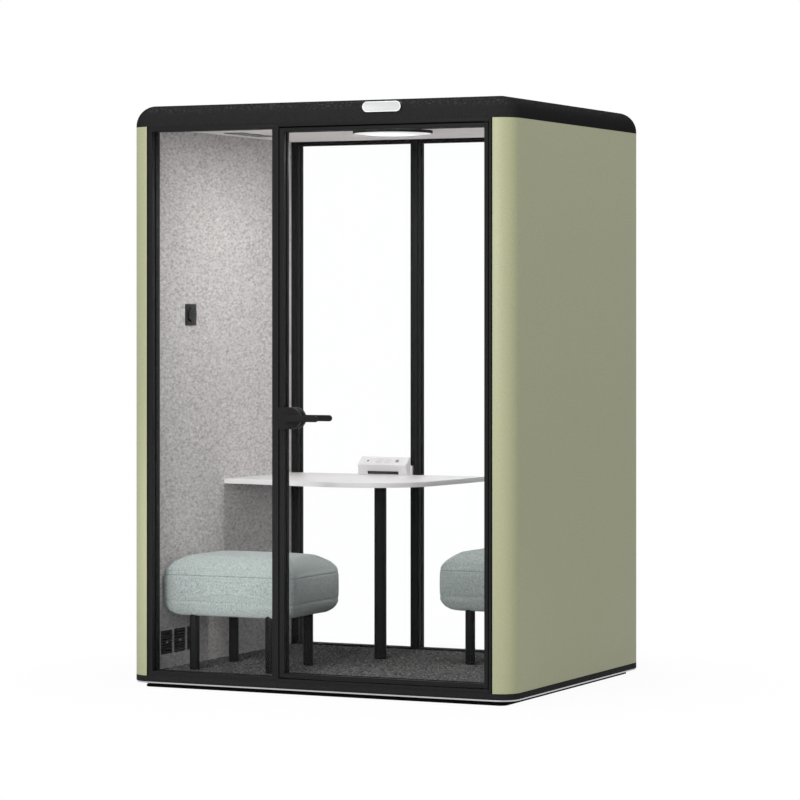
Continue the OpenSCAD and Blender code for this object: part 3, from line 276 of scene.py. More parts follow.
def finish(name):
    """The finish of that name, made the first time that it is asked for."""
    if name not in FINISHES:
        FINISHES[name] = MAKERS[name](bpy.context.scene.booth_colours).material
    return FINISHES[name]


def powder_coat(name, colour, grain, depth, gloss, speckle, shine=0.05):
    """Fine-textured powder coat: small beads of paint that catch the light one by one."""
    coat = Finish(name)
    beads = coat.noise(grain, 2.0, 0.6)
    coat.mottle(coat.spread(beads, 0.35, 0.75), colour, 1.0 - speckle, 1.0 + speckle)
    coat.rough(coat.spread(coat.noise(grain * 0.2, 3.0), 0.3, 0.7, gloss - 0.05, gloss + 0.05))
    coat.relief(beads, depth)
    coat.set(Specular_IOR_Level=shine)
    return coat


@maker
def roof_coat(c):
    """The roof's coat, with pale flecks painted as highlight over the part that turns away from
    the front.
    """
    coat = powder_coat("black structured coat", shade(c.black_coat, 1.45), 300.0, 0.0003, 0.6,
                       0.3, 0.0)
    height = coat.add("ShaderNodeSeparateXYZ", {"Vector": coat.place}).outputs["Z"]
    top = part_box("roof_cap")[1].z
    # Painted highlight: pale flecks in the coat's colour near the roof's top, where light from
    # above would glint.
    upper = coat.spread(height, top - GLINTS_BEGIN, top - GLINTS_FULL)
    flecks = coat.spread(coat.noise(105.0, 3.0, 0.6), 0.53, 0.66, 0.0, 0.9)
    plain = coat.shader.inputs["Base Color"].links[0].from_socket
    coat.colour(coat.blend(coat.maths(upper, flecks, "MULTIPLY"), plain,
                           shade(c.black_coat, 3.8)))
    return coat


@maker
def sage_coat(c):
    coat = Finish("sage green powder coat")
    grain = coat.noise(420.0, 3.0, 0.65)
    drift = coat.noise(2.2, 2.0)
    base = coat.blend(coat.spread(coat.noise(190.0, 3.0, 0.65), 0.3, 0.7),
                      shade(c.sage_coat, 0.88), shade(c.sage_coat, 1.12))
    coat.colour(coat.blend(coat.spread(drift, 0.3, 0.7, 0.0, 0.5), base,
                           shade(c.sage_coat, 0.97)))
    coat.rough(coat.spread(grain, 0.3, 0.7, 0.45, 0.55))
    coat.relief(grain, 0.0003)
    return coat


@maker
def ceiling_felt(c):
    """The walls' felt once more, painted paler to stand in for the light on the ceiling, and with
    finer flecks.
    """
    felt = Finish("pale ceiling felt")
    fibre = felt.noise(220.0, 3.0, 0.6, 0.5)
    # Painted light: the ceiling takes a lighter copy of the walls' felt colour.
    felt.mottle(felt.spread(fibre, 0.3, 0.7), c.felt, 1.42, 1.62)
    felt.relief(fibre, 0.0005, 0.6)
    felt.set(Roughness=0.95, Specular_IOR_Level=0.12)
    return felt


@maker
def wall_felt(c):
    """Needled felt: pale ground with short grey flecks pressed into it at all angles."""
    felt = Finish("pressed wall felt")
    clouds = felt.noise(30.0, 4.0, 0.7, 0.0)
    ground = felt.blend(felt.spread(clouds, 0.35, 0.65), shade(c.felt, 0.95), shade(c.felt, 1.05))
    along = felt.stretched((1.0, 0.45, 1.0))
    large = felt.noise(105.0, 4.0, 0.7, 0.0, along)
    small = felt.noise(240.0, 2.0, 0.6, 0.0, along)
    fleck = felt.spread(large, 0.49, 0.33, 0.0, 0.72)
    grit = felt.spread(small, 0.47, 0.32, 0.0, 0.50)
    light = felt.spread(large, 0.52, 0.68, 0.0, 0.75)
    base = felt.blend(light, ground, shade(c.felt, 1.35))
    base = felt.blend(grit, base, c.felt_fleck)
    felt.colour(felt.blend(fleck, base, c.felt_fleck))
    felt.relief(large, 0.0008, 0.6)
    felt.relief(felt.noise(900.0, 3.0, 0.7), 0.0004, 0.6)
    felt.set(Roughness=0.95, Specular_IOR_Level=0.12, Sheen_Weight=0.08, Sheen_Roughness=0.6)
    return felt


@maker
def carpet_pile(c):
    """Looped carpet of dark yarn with a scatter of paler loops."""
    pile = Finish("looped carpet")
    yarn = pile.noise(300.0, 3.0, 0.7)
    patch = pile.noise(65.0, 4.0, 0.8)
    base = pile.blend(pile.spread(patch, 0.42, 0.58), shade(c.carpet, 0.15), shade(c.carpet, 1.75))
    fleck = pile.spread(pile.noise(85.0, 3.0, 0.8), 0.54, 0.60, 0.0, 0.9)
    pile.colour(pile.blend(fleck, base, shade(c.carpet, 4.8)))
    pile.relief(yarn, 0.001)
    pile.set(Roughness=1.0, Specular_IOR_Level=0.1, Sheen_Weight=0.06, Sheen_Roughness=0.7)
    return pile


@maker
def seat_cloth(c):
    """Melange wool: light and dark yarn, woven fine, with a dark line of painted shade along each
    seam.
    """
    cloth = Finish("woven wool melange")
    streak = cloth.noise(210.0, 4.0, 0.85, 0.0, cloth.stretched((1.0, 1.0, 0.8)))
    yarn = cloth.noise(800.0, 2.0, 0.6)
    heather = cloth.maths(cloth.spread(streak, 0.3, 0.7, 0.0, 0.6),
                          cloth.spread(yarn, 0.3, 0.7, 0.0, 0.4))
    woven = cloth.blend(cloth.spread(heather, 0.32, 0.64), c.cloth_dark, shade(c.cloth, 1.12))
    sizes = bpy.context.scene.booth_sizes
    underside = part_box("left_stool_seat")[0].z
    height = cloth.add("ShaderNodeSeparateXYZ", {"Vector": cloth.place}).outputs["Z"]
    # Painted shade: the cloth darkens along each seam's crease, most along the upper seam under
    # the dome.
    line = None
    for seam, depth in ((sizes.low_seam, 0.16), (sizes.high_seam, 0.5)):
        near = cloth.maths(cloth.maths(height, underside + seam, "SUBTRACT"), 0.0, "ABSOLUTE")
        dark = cloth.spread(near, sizes.seam_shade * 0.6, sizes.seam_shade * 1.5, depth, 0.0)
        line = dark if line is None else cloth.maths(line, dark, "MAXIMUM")
    cloth.colour(cloth.blend(line, woven, shade(c.cloth_dark, 0.35)))
    across = cloth.maths(cloth.bands(260.0, "X", 0.5), cloth.bands(260.0, "Y", 0.5))
    weave = cloth.maths(cloth.bands(260.0, "Z", 0.5), across, "MULTIPLY")
    cloth.relief(weave, 0.0006, 0.7)
    cloth.relief(yarn, 0.0005, 0.6)
    cloth.set(Roughness=0.92, Specular_IOR_Level=0.2, Sheen_Weight=0.15, Sheen_Roughness=0.5)
    return cloth


@maker
def clear_glass(c):
    """Coated safety glass: nearly all light goes straight through, with a faint reflection."""
    pane = Finish("clear coated glass")
    clear = pane.add("ShaderNodeBsdfTransparent", {"Color": (0.998, 1.0, 0.999)})
    smear = pane.spread(pane.noise(3.0, 3.0), 0.3, 0.7, 0.015, 0.03)
    gloss = pane.add("ShaderNodeBsdfGlossy", {
        "Color": (0.95, 0.98, 1.0), "Roughness": smear})
    facing = pane.add("ShaderNodeFresnel", {"IOR": 1.12}).outputs[0]
    pane.surface(pane.add("ShaderNodeMixShader", {
        0: facing, 1: clear.outputs[0], 2: gloss.outputs[0]}))
    return pane


@maker
def black_rubber(c):
    rubber = Finish("black rubber")
    grain = rubber.noise(500.0, 3.0, 0.6)
    rubber.colour(rubber.blend(grain, (0.009, 0.009, 0.009), (0.018, 0.018, 0.018)))
    rubber.relief(grain, 0.0002)
    rubber.set(Roughness=0.8, Specular_IOR_Level=0.08)
    return rubber


@maker
def black_plastic(c):
    plastic = Finish("matt black plastic")
    grain = plastic.cells(1500.0)
    plastic.colour(plastic.blend(plastic.noise(60.0, 3.0), (0.012, 0.012, 0.012),
                                 (0.020, 0.020, 0.020)))
    plastic.relief(grain, 0.00012)
    plastic.set(Roughness=0.5, Specular_IOR_Level=0.2)
    return plastic


def brushed_metal(name, colour, roughness):
    metal = Finish(name)
    lines = metal.noise(90.0, 4.0, 0.7, 0.0, metal.stretched((0.3, 12.0, 12.0)))
    metal.mottle(lines, colour, 0.86, 1.08)
    metal.rough(metal.spread(lines, 0.2, 0.8, roughness - 0.06, roughness + 0.08))
    metal.relief(lines, 0.00008)
    metal.set(Metallic=1.0)
    return metal


def moulded(name, colour, roughness, grain=1300.0, depth=0.00010):
    """Moulded plastic with a fine spark-eroded grain."""
    plastic = Finish(name)
    spark = plastic.noise(grain, 2.0, 0.6)
    drift = plastic.noise(14.0, 3.0)
    plastic.mottle(drift, colour, 0.975, 1.02)
    plastic.rough(plastic.spread(spark, 0.3, 0.7, roughness - 0.04, roughness + 0.05))
    plastic.relief(spark, depth)
    return plastic


@maker
def table_white(c):
    """Matt laminate: a faint pearl in the print and a slight orange peel."""
    laminate = Finish("matt white laminate")
    peel = laminate.noise(260.0, 2.0, 0.5)
    cloud = laminate.noise(7.0, 3.0)
    laminate.mottle(cloud, c.table, 0.985, 1.01)
    laminate.rough(laminate.spread(peel, 0.3, 0.7, 0.36, 0.44))
    laminate.relief(peel, 0.00006)
    return laminate


@maker
def board(c):
    """Particle board: pale chips pressed together."""
    wood = Finish("particle board")
    chips = wood.cells(180.0)
    tone = wood.noise(70.0, 4.0, 0.6)
    wood.colour(wood.blend(tone, (0.30, 0.20, 0.11), (0.55, 0.40, 0.24)))
    wood.relief(chips, 0.0006)
    wood.set(Roughness=0.8)
    return wood


@maker
def black_board(c):
    wood = Finish("black-faced board")
    grain = wood.noise(220.0, 4.0, 0.7)
    wood.colour(wood.blend(grain, (0.012, 0.012, 0.012), (0.028, 0.028, 0.028)))
    wood.relief(grain, 0.0003)
    wood.set(Roughness=0.7)
    return wood


@maker
def sound_wool(c):
    wool = Finish("sound wool")
    strand = wool.noise(160.0, 6.0, 0.75, 1.5, wool.stretched((1.0, 1.0, 3.0)))
    wool.colour(wool.blend(wool.spread(strand, 0.35, 0.65), (0.34, 0.27, 0.15),
                           (0.58, 0.49, 0.30)))
    wool.relief(strand, 0.003)
    wool.set(Roughness=1.0, Specular_IOR_Level=0.1)
    return wool


@maker
def lamp_diffuser(c):
    """Opal diffuser, lit: brightest in the middle, greyer towards its rim."""
    opal = Finish("lit opal diffuser")
    low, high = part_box("lamp_diffuser")
    middle = (low + high) / 2
    flat = opal.add("ShaderNodeMapping", {
        "Vector": opal.place, "Location": (-middle.x, -middle.y, 0.0), "Scale": (1.0, 1.0, 0.0)})
    reach = opal.add("ShaderNodeVectorMath", {0: flat.outputs[0]}, operation="LENGTH")
    glow = opal.spread(reach.outputs["Value"], 0.085, 0.118, 1.0, 0.52)
    mottle = opal.spread(opal.noise(500.0, 2.0), 0.3, 0.7, 0.985, 1.015)
    opal.put(opal.maths(glow, mottle, "MULTIPLY"), opal.shader.inputs["Emission Strength"])
    opal.set(Emission_Color=(1.0, 1.0, 1.0, 1.0), Roughness=0.4)
    opal.colour((0.30, 0.30, 0.30))
    return opal


MAKERS.update({
    "black_coat": lambda c: powder_coat(
        "black powder coat", c.black_coat, 700.0, 0.00025, 0.46, 0.25),
    # Painted shade: the black coat at a little over half its brightness, for parts seen in shade.
    "black_coat_in_painted_shade": lambda c: powder_coat(
        "dull black coat darkened as painted shade", shade(c.black_coat, 0.55), 700.0, 0.0002, 0.6, 0.25),
    "plinth_coat": lambda c: powder_coat(
        "black plinth coat", shade(c.black_coat, 0.5), 420.0, 0.0004, 0.6, 0.3, 0.01),
    "base_coat": lambda c: powder_coat(
        "black floor frame coat", shade(c.black_coat, 1.3), 420.0, 0.0004, 0.6, 0.3, 0.02),
    "leg_coat": lambda c: powder_coat(
        "black leg coat", shade(c.black_coat, 0.55), 900.0, 0.0002, 0.42, 0.2),
    "bright_trim": lambda c: brushed_metal("brushed bright trim", (0.50, 0.50, 0.51), 0.32),
    "bright_steel": lambda c: brushed_metal("bright steel", (0.62, 0.62, 0.64), 0.26),
    "grille_rim": lambda c: moulded("pale grille rim", (0.33, 0.315, 0.30), 0.5),
    "grille_slat": lambda c: moulded("dark grille slats", (0.05, 0.05, 0.05), 0.6),
    "cover_white": lambda c: moulded("moulded white cover", c.cover, 0.42),
    "insert_grey": lambda c: moulded("moulded grey insert", shade(c.cover, 0.92), 0.45),
    "button_grey": lambda c: moulded("moulded grey button", (0.24, 0.24, 0.25), 0.42),
    # Black for the ports, and painted shade inside the socket box's slot.
    "port_black_and_slot_shade": lambda c: moulded("moulded black ports and painted slot shade", (0.03, 0.03, 0.032), 0.5),
    "badge_white": lambda c: moulded("satin badge plate", c.badge, 0.38, 900.0, 0.00005),
    # Painted shade: black on the badge's sides.
    "badge_side_shade": lambda c: moulded("badge side painted black as shade", (0.012, 0.012, 0.012), 0.6),
    # Painted highlight: a brighter white on the badge's raised rim.
    "badge_rim_highlight": lambda c: moulded("badge rim with painted highlight", (0.92, 0.92, 0.92), 0.25, 900.0, 0.00004),
    # Painted light: the table's edge faces take a lighter copy of the laminate, so that they read
    # as lit as the top.
    "table_edge": lambda c: moulded("white edge band painted lighter", shade(c.table, 1.05), 0.45, 800.0, 0.00008),
    "white_board": lambda c: moulded("white circuit board", (0.78, 0.78, 0.76), 0.4),
    "lamp_ring": lambda c: moulded("pale lamp ring", (0.46, 0.46, 0.46), 0.5),
})


# -------------------- ways of working


def clear_selection():
    if bpy.context.mode != "OBJECT":
        bpy.ops.object.mode_set(mode="OBJECT")
    bpy.ops.object.select_all(action="DESELECT")


def pick(piece):
    """Makes that piece the only one selected, and the active one."""
    clear_selection()
    piece.select_set(True)
    bpy.context.view_layer.objects.active = piece


def paint(piece, name):
    """Gives a piece one finish all over."""
    if not piece.material_slots:
        piece.data.materials.append(finish(name))
    for entry in piece.material_slots:
        entry.material = finish(name)


def paint_nodes(name, *nodes):
    for node in nodes:
        paint(frame["nodes"][node], name)


def mark_faces(piece, name, test):
    """Gives the faces for which test(face) holds a further finish."""
    piece.data.materials.append(finish(name))
    for face in piece.data.polygons:
        if test(face):
            face.material_index = len(piece.data.materials) - 1


def place_piece(piece, name, body, finish_name=None):
    """Names a finished piece, puts its place in its mesh and lets it ride on its body."""
    pick(piece)
    bpy.ops.object.transform_apply()
    piece.name = name
    piece.data.name = name
    if finish_name:
        paint(piece, finish_name)
    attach(piece, body)
    return piece


def twin_of(piece):
    twin = piece.copy()
    twin.data = piece.data.copy()
    bpy.context.scene.collection.objects.link(twin)
    return twin


def copy_of(node):
    """A loose copy of a CAD node with its doubled points merged and its flat faces joined."""
    piece = twin_of(frame["nodes"][node])
    piece.parent = None
    for key in list(piece.keys()):
        del piece[key]
    pick(piece)
    bpy.ops.object.mode_set(mode="EDIT")
    bpy.ops.mesh.select_all(action="SELECT")
    bpy.ops.mesh.remove_doubles(threshold=0.00001)
    bpy.ops.mesh.dissolve_limited(angle_limit=math.radians(0.3))
    bpy.ops.object.mode_set(mode="OBJECT")
    return piece


def read_points(piece, field="co"):
    """The places of a piece's points, one a row, or their normals."""
    rows = np.empty(len(piece.data.vertices) * 3)
    piece.data.vertices.foreach_get(field, rows)
    return rows.reshape(-1, 3)


def write_points(piece, points):
    piece.data.vertices.foreach_set("co", points.ravel())
    piece.data.update()


def apply_modifier(piece, kind, **settings):
    pick(piece)
    modifier = piece.modifiers.new("shape", kind)
    for key, value in settings.items():
        setattr(modifier, key, value)
    bpy.ops.object.modifier_apply(modifier=modifier.name)


def round_edges(piece, radius, segments=2, angle=30.0):
    apply_modifier(piece, "BEVEL", width=radius, segments=segments, limit_method="ANGLE",
                   angle_limit=math.radians(angle))
    bpy.ops.object.shade_smooth_by_angle(angle=math.radians(40.0))


def soften(node, radius, finish_name, segments=2):
    """Replaces a CAD node by its own shape with rounded edges."""
    piece = copy_of(node)
    round_edges(piece, radius, segments)
    place_piece(piece, node + "_finished", NODE_BODY[node], finish_name)
    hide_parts(node)
    return piece


def select_faces(piece, test):
    """Selects in edit mode the faces for which test(centre, normal) holds."""
    pick(piece)
    bpy.ops.object.mode_set(mode="EDIT")
    bpy.ops.mesh.select_mode(type="FACE")
    bpy.ops.mesh.select_all(action="DESELECT")
    mesh = bmesh.from_edit_mesh(piece.data)
    count = 0
    for face in mesh.faces:
        if test(face.calc_center_median(), face.normal):
            face.select_set(True)
            count += 1
    mesh.select_flush(True)
    bmesh.update_edit_mesh(piece.data)
    if not count:
        raise RuntimeError(f"no face of {piece.name} fits what was asked")


def turn_outwards():
    """Turns all faces of the piece in edit mode outwards, and leaves that mode."""
    bpy.ops.mesh.select_all(action="SELECT")
    bpy.ops.mesh.normals_make_consistent(inside=False)
    bpy.ops.object.mode_set(mode="OBJECT")


def add_cube(low, high):
    """A block between two corners, selected in object mode."""
    clear_selection()
    low, high = Vector(low), Vector(high)
    bpy.ops.mesh.primitive_cube_add(size=1.0, location=(low + high) / 2)
    piece = bpy.context.object
    piece.scale = high - low
    bpy.ops.object.transform_apply()
    return piece


def join(pieces):
    pick(pieces[0])
    for piece in pieces:
        piece.select_set(True)
    bpy.ops.object.join()
    return pieces[0]


def moved_copy(piece, offset):
    """A copy with its own mesh, moved by offset."""
    twin = twin_of(piece)
    twin.location += Vector(offset)
    pick(twin)
    bpy.ops.object.transform_apply(location=True, rotation=False, scale=False)
    return twin


def make_grille(width, height, thick, sizes, slat_finish):
    """A grille that lies face up: a rim, tilted slats along its width and a screw."""
    rim = add_cube((-width / 2, -height / 2, 0.0), (width / 2, height / 2, thick))
    select_faces(rim, lambda centre, normal: abs(normal.z) > 0.9)
    bpy.ops.mesh.inset(thickness=sizes.grille_rim)
    bpy.ops.mesh.bridge_edge_loops()
    turn_outwards()
    round_edges(rim, GRILLE_EDGE, 3)
    paint(rim, "grille_rim")

    opening = height - 2.0 * sizes.grille_rim
    pitch = opening / sizes.slats
    reach = width / 2 - sizes.grille_rim * 0.5
    slat = add_cube((-reach, -SLAT_WIDTH / 2, -SLAT_THICK / 2),
                    (reach, SLAT_WIDTH / 2, SLAT_THICK / 2))
    slat.rotation_euler = (sizes.slat_tilt, 0.0, 0.0)
    slat.location = (0.0, -opening / 2 + pitch / 2, thick / 2 - SLAT_THICK)
    pick(slat)
    bpy.ops.object.transform_apply()
    round_edges(slat, SLAT_EDGE)
    paint(slat, slat_finish)
    slats = [moved_copy(slat, (0.0, step * pitch, 0.0)) for step in range(1, sizes.slats)]

    clear_selection()
    bpy.ops.mesh.primitive_cylinder_add(vertices=32, radius=SCREW_RADIUS, depth=thick,
                                        location=(0.0, 0.0, thick / 2))
    screw = bpy.context.object
    bpy.ops.object.transform_apply()
    select_faces(screw, lambda centre, normal: normal.z > 0.9)
    bpy.ops.mesh.inset(thickness=SCREW_RIM)
    bpy.ops.mesh.extrude_region_move(TRANSFORM_OT_translate={"value": (0, 0, -SCREW_HOLLOW)})
    bpy.ops.object.mode_set(mode="OBJECT")
    round_edges(screw, SLAT_EDGE)
    paint(screw, "bright_steel")
    return join([rim, slat, *slats, screw])


def repeat_grille(grille, node, stem, place, pitch, turn):
    """Sets a grille three times from front to rear, with its axes as the columns of turn."""
    for step, name in ((-1, "front"), (0, "middle"), (1, "rear")):
        piece = moved_copy(grille, (0.0, 0.0, 0.0)) if step < 1 else grille
        piece.matrix_world = (Matrix.Translation((place[0], place[1] + step * pitch, place[2]))
                              @ Matrix(turn).to_4x4())
        place_piece(piece, stem + name, NODE_BODY[node])
        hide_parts(node)


# -------------------- pieces


class BOOTH_OT_carcass(bpy.types.Operator):
    """Finishes the plinth, the base, the side skins, the corner posts and the roof"""
    bl_idname = "booth.carcass"
    bl_label = "Carcass and roof"

    def execute(self, context):
        sizes = context.scene.booth_sizes
        soften("plinth", sizes.metal_edge, "plinth_coat")
        soften("base_trim", sizes.sheet_edge, "bright_trim")
        soften("base_frame", sizes.metal_edge, "base_coat")
        soften("left_side_shell", sizes.sheet_edge, "sage_coat")
        soften("right_side_shell", sizes.sheet_edge, "sage_coat")
        paint_nodes("black_coat", "corner_posts")
        paint_nodes("sound_wool", "left_wall_core", "right_wall_core")
        paint_nodes("roof_coat", "roof_cap")
        paint_nodes("black_board", "roof_board")
        return {"FINISHED"}


class BOOTH_OT_frames(bpy.types.Operator):
    """Finishes the front frame, the door leaf, the back frame and their beads and seals"""
    bl_idname = "booth.frames"
    bl_label = "Frames, beads and seals"

    def execute(self, context):
        sizes = context.scene.booth_sizes
        for node in ("front_jambs", "front_head", "centre_post", "door_frame", "door_stops"):
            soften(node, sizes.metal_edge, "black_coat")
        # Painted shade: the back frame takes the darkened black coat.
        soften("back_frame", sizes.metal_edge, "black_coat_in_painted_shade")
        sill = soften("front_sill", sizes.metal_edge, "black_coat")
        mark_faces(sill, "black_rubber", lambda face: face.normal.z > 0.5)
        for node in ("fixed_beads", "door_beads"):
            soften(node, sizes.metal_edge * 0.8, "black_coat")
        # Painted shade: the back beads take the darkened black coat.
        soften("back_beads", sizes.metal_edge * 0.8, "black_coat_in_painted_shade")
        paint_nodes("black_rubber", "joint_seals", "door_seals")
        paint_nodes("bright_steel", "strike_plate")
        # Painted shade: the pivots and their bushes take the darkened black coat.
        paint_nodes("black_coat_in_painted_shade", "door_pivots", "pivot_bushes")
        return {"FINISHED"}


class BOOTH_OT_glazing(bpy.types.Operator):
    """Finishes the fixed pane, the door's pane and the two back panes"""
    bl_idname = "booth.glazing"
    bl_label = "Glazing"

    def execute(self, context):
        paint_nodes("clear_glass", "fixed_glass", "door_glass", "back_glass")
        return {"FINISHED"}


class BOOTH_OT_lining(bpy.types.Operator):
    """Finishes the felt walls, the ceiling, the floor board and the carpet"""
    bl_idname = "booth.lining"
    bl_label = "Felt and carpet"

    def execute(self, context):
        paint_nodes("wall_felt", "left_felt", "right_felt")
        paint_nodes("ceiling_felt", "ceiling_felt")
        paint_nodes("board", "floor_deck")
        self.lay_carpet(context.scene.booth_sizes)
        return {"FINISHED"}

    def lay_carpet(self, sizes):
        """Lays a fine grid over the carpet, pushes it into lumps and closes it underneath."""
        low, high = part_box("carpet")
        size, middle = high - low, (low + high) / 2
        clear_selection()
        bpy.ops.mesh.primitive_grid_add(
            x_subdivisions=round(size.x / sizes.pile_pitch),
            y_subdivisions=round(size.y / sizes.pile_pitch),
            size=1.0, location=(middle.x, middle.y, high.z))
        pile = bpy.context.object
        pile.scale = (size.x, size.y, 1.0)
        bpy.ops.object.transform_apply()
        lumps = bpy.data.textures.new("lumps in the pile", "CLOUDS")
        lumps.noise_scale = sizes.pile_lump
        lumps.noise_depth = 2
        apply_modifier(pile, "DISPLACE", texture=lumps, texture_coords="LOCAL", direction="Z",
                       strength=sizes.pile_depth, mid_level=0.80)
        pick(pile)
        bpy.ops.object.mode_set(mode="EDIT")
        bpy.ops.mesh.select_mode(type="EDGE")
        bpy.ops.mesh.select_all(action="DESELECT")
        bpy.ops.mesh.select_non_manifold()
        bpy.ops.mesh.extrude_region_move()
        bpy.ops.transform.resize(value=(1.0, 1.0, 0.0), center_override=(0.0, 0.0, low.z))
        bpy.ops.mesh.edge_face_add()
        turn_outwards()
        bpy.ops.object.shade_smooth_by_angle(angle=math.radians(60.0))
        place_piece(pile, "carpet_pile", "booth", "carpet_pile")
        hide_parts("carpet")


class BOOTH_OT_lock(bpy.types.Operator):
    """Rounds and finishes the lock plates, the lever and the latch bolt"""
    bl_idname = "booth.lock"
    bl_label = "Lock and lever"

    def execute(self, context):
        sizes = context.scene.booth_sizes
        soften("lock_plates", sizes.metal_edge, "black_coat", 3)
        soften("lever", sizes.grip_edge, "black_coat", 4)
        soften("latch_bolt", sizes.sheet_edge, "bright_steel")
        return {"FINISHED"}


class BOOTH_OT_badge(bpy.types.Operator):
    """Makes the bare badge over the door, with a raised rim painted bright as highlight and its
    sides painted black as shade
    """
    bl_idname = "booth.badge"
    bl_label = "Badge"

    def execute(self, context):
        sizes = context.scene.booth_sizes
        piece = copy_of("badge_plate")
        low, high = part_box("badge_plate")
        select_faces(piece, lambda centre, normal: normal.y < -0.9)
        bpy.ops.mesh.inset(thickness=BADGE_RIM)
        bpy.ops.mesh.extrude_region_move(TRANSFORM_OT_translate={"value": (0, BADGE_HOLLOW, 0)})
        bpy.ops.object.mode_set(mode="OBJECT")
        round_edges(piece, sizes.sheet_edge, angle=40.0)
        piece = place_piece(piece, "badge_finished", "booth",
                            "badge_white")
        middle = (low + high) / 2
        half_h = (high.z - low.z) / 2
        half_w = (high.x - low.x) / 2 - half_h

        # Painted highlight: the raised rim gets a brighter white than the plate.
        def on_rim(face):
            beyond = max(0.0, abs(face.center.x - middle.x) - half_w)
            return math.hypot(beyond, face.center.z - middle.z) > half_h - BADGE_RIM - 0.0004
        mark_faces(piece, "badge_rim_highlight", on_rim)
        # Painted shade: the badge's sides behind its front are painted black.
        mark_faces(piece, "badge_side_shade", lambda face: face.center.y > low.y + BADGE_FRONT
                   and abs(face.normal.y) < 0.5)
        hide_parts("badge_plate")
        return {"FINISHED"}


class BOOTH_OT_ceiling(bpy.types.Operator):
    """Finishes the lamp, the ceiling grilles and the fans above them"""
    bl_idname = "booth.ceiling"
    bl_label = "Lamp, grilles and fans"

    def execute(self, context):
        sizes = context.scene.booth_sizes
        rim = soften("lamp_rim", sizes.metal_edge, "black_coat")
        low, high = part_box("lamp_rim")
        middle, outer = (low + high) / 2, (high.x - low.x) / 2

        def on_ring(face):
            reach = math.hypot(face.center.x - middle.x, face.center.y - middle.y)
            return face.normal.z < -0.5 or (face.normal.z < 0.5 and reach < outer - RING_EDGE)
        mark_faces(rim, "lamp_ring", on_ring)
        paint_nodes("lamp_diffuser", "lamp_diffuser")
        paint_nodes("white_board", "led_board")
        low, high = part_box("ceiling_grilles")
        width = high.y - low.y - 2.0 * sizes.fan_pitch
        grille = make_grille(width, high.x - low.x, high.z - low.z, sizes, "grille_rim")
        middle = (low + high) / 2
        repeat_grille(grille, "ceiling_grilles", "ceiling_grille_", (middle.x, middle.y, high.z),
                      sizes.fan_pitch, ((0, 1, 0), (1, 0, 0), (0, 0, -1)))
        paint_nodes("black_plastic", "fan_frames", "fan_rotor_front", "fan_rotor_middle",
                    "fan_rotor_rear")
        return {"FINISHED"}


class BOOTH_OT_wall_grilles(bpy.types.Operator):
    """Models one air inlet with its rim, slats and screw, and repeats it along the wall"""
    bl_idname = "booth.wall_grilles"
    bl_label = "Wall grilles"

    def execute(self, context):
        sizes = context.scene.booth_sizes
        low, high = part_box("wall_grilles")
        width = high.y - low.y - 2.0 * sizes.inlet_pitch
        grille = make_grille(width, high.z - low.z, high.x - low.x, sizes, "grille_slat")
        middle = (low + high) / 2
        repeat_grille(grille, "wall_grilles", "wall_grille_", (low.x, middle.y, middle.z),
                      sizes.inlet_pitch, ((0, 0, 1), (1, 0, 0), (0, 1, 0)))
        paint_nodes("black_plastic", "wall_ducts")
        return {"FINISHED"}


class BOOTH_OT_switch(bpy.types.Operator):
    """Rounds and finishes the wall switch and its knob"""
    bl_idname = "booth.switch"
    bl_label = "Wall switch"

    def execute(self, context):
        sizes = context.scene.booth_sizes
        soften("switch_plate", sizes.plastic_edge * 0.6, "black_plastic", 3)
        soften("switch_knob", sizes.plastic_edge * 0.5, "black_plastic", 3)
        return {"FINISHED"}


class BOOTH_OT_table(bpy.types.Operator):
    """Rounds and finishes the table top with its edge band, and its leg"""
    bl_idname = "booth.table"
    bl_label = "Table"

    def execute(self, context):
        sizes = context.scene.booth_sizes
        top = soften("table_top", sizes.board_edge, "table_white", 3)
        # Painted light: the edge faces get the lighter copy of the laminate.
        mark_faces(top, "table_edge", lambda face: abs(face.normal.z) < 0.35)
        soften("table_leg", sizes.metal_edge, "leg_coat")
        paint_nodes("bright_steel", "table_pins")
        return {"FINISHED"}


class BOOTH_OT_socket_box(bpy.types.Operator):
    """Rounds and finishes the socket box, its inserts and its button"""
    bl_idname = "booth.socket_box"
    bl_label = "Socket box"

    def execute(self, context):
        sizes = context.scene.booth_sizes
        cover = soften("socket_box", sizes.plastic_edge * 0.7, "cover_white", 3)
        low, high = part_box("socket_box")

        # Painted shade: the faces inside the slot under the box's nose are painted black, where
        # the recess lies in shade.
        def in_slot(face):
            inside = low.x + SLOT_FROM_SIDE < face.center.x < high.x - SLOT_FROM_SIDE
            square = max(abs(part) for part in face.normal) > 0.98
            return inside and square and 0.001 < face.center.z - low.z < SLOT_TOP
        mark_faces(cover, "port_black_and_slot_shade", in_slot)
        inserts = soften("socket_inserts", sizes.sheet_edge, "insert_grey")
        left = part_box("socket_inserts")[0].x
        mark_faces(inserts, "port_black_and_slot_shade", lambda face: face.center.x < left + DARK_INSERT)
        soften("socket_button", sizes.sheet_edge, "button_grey", 3)
        return {"FINISHED"}


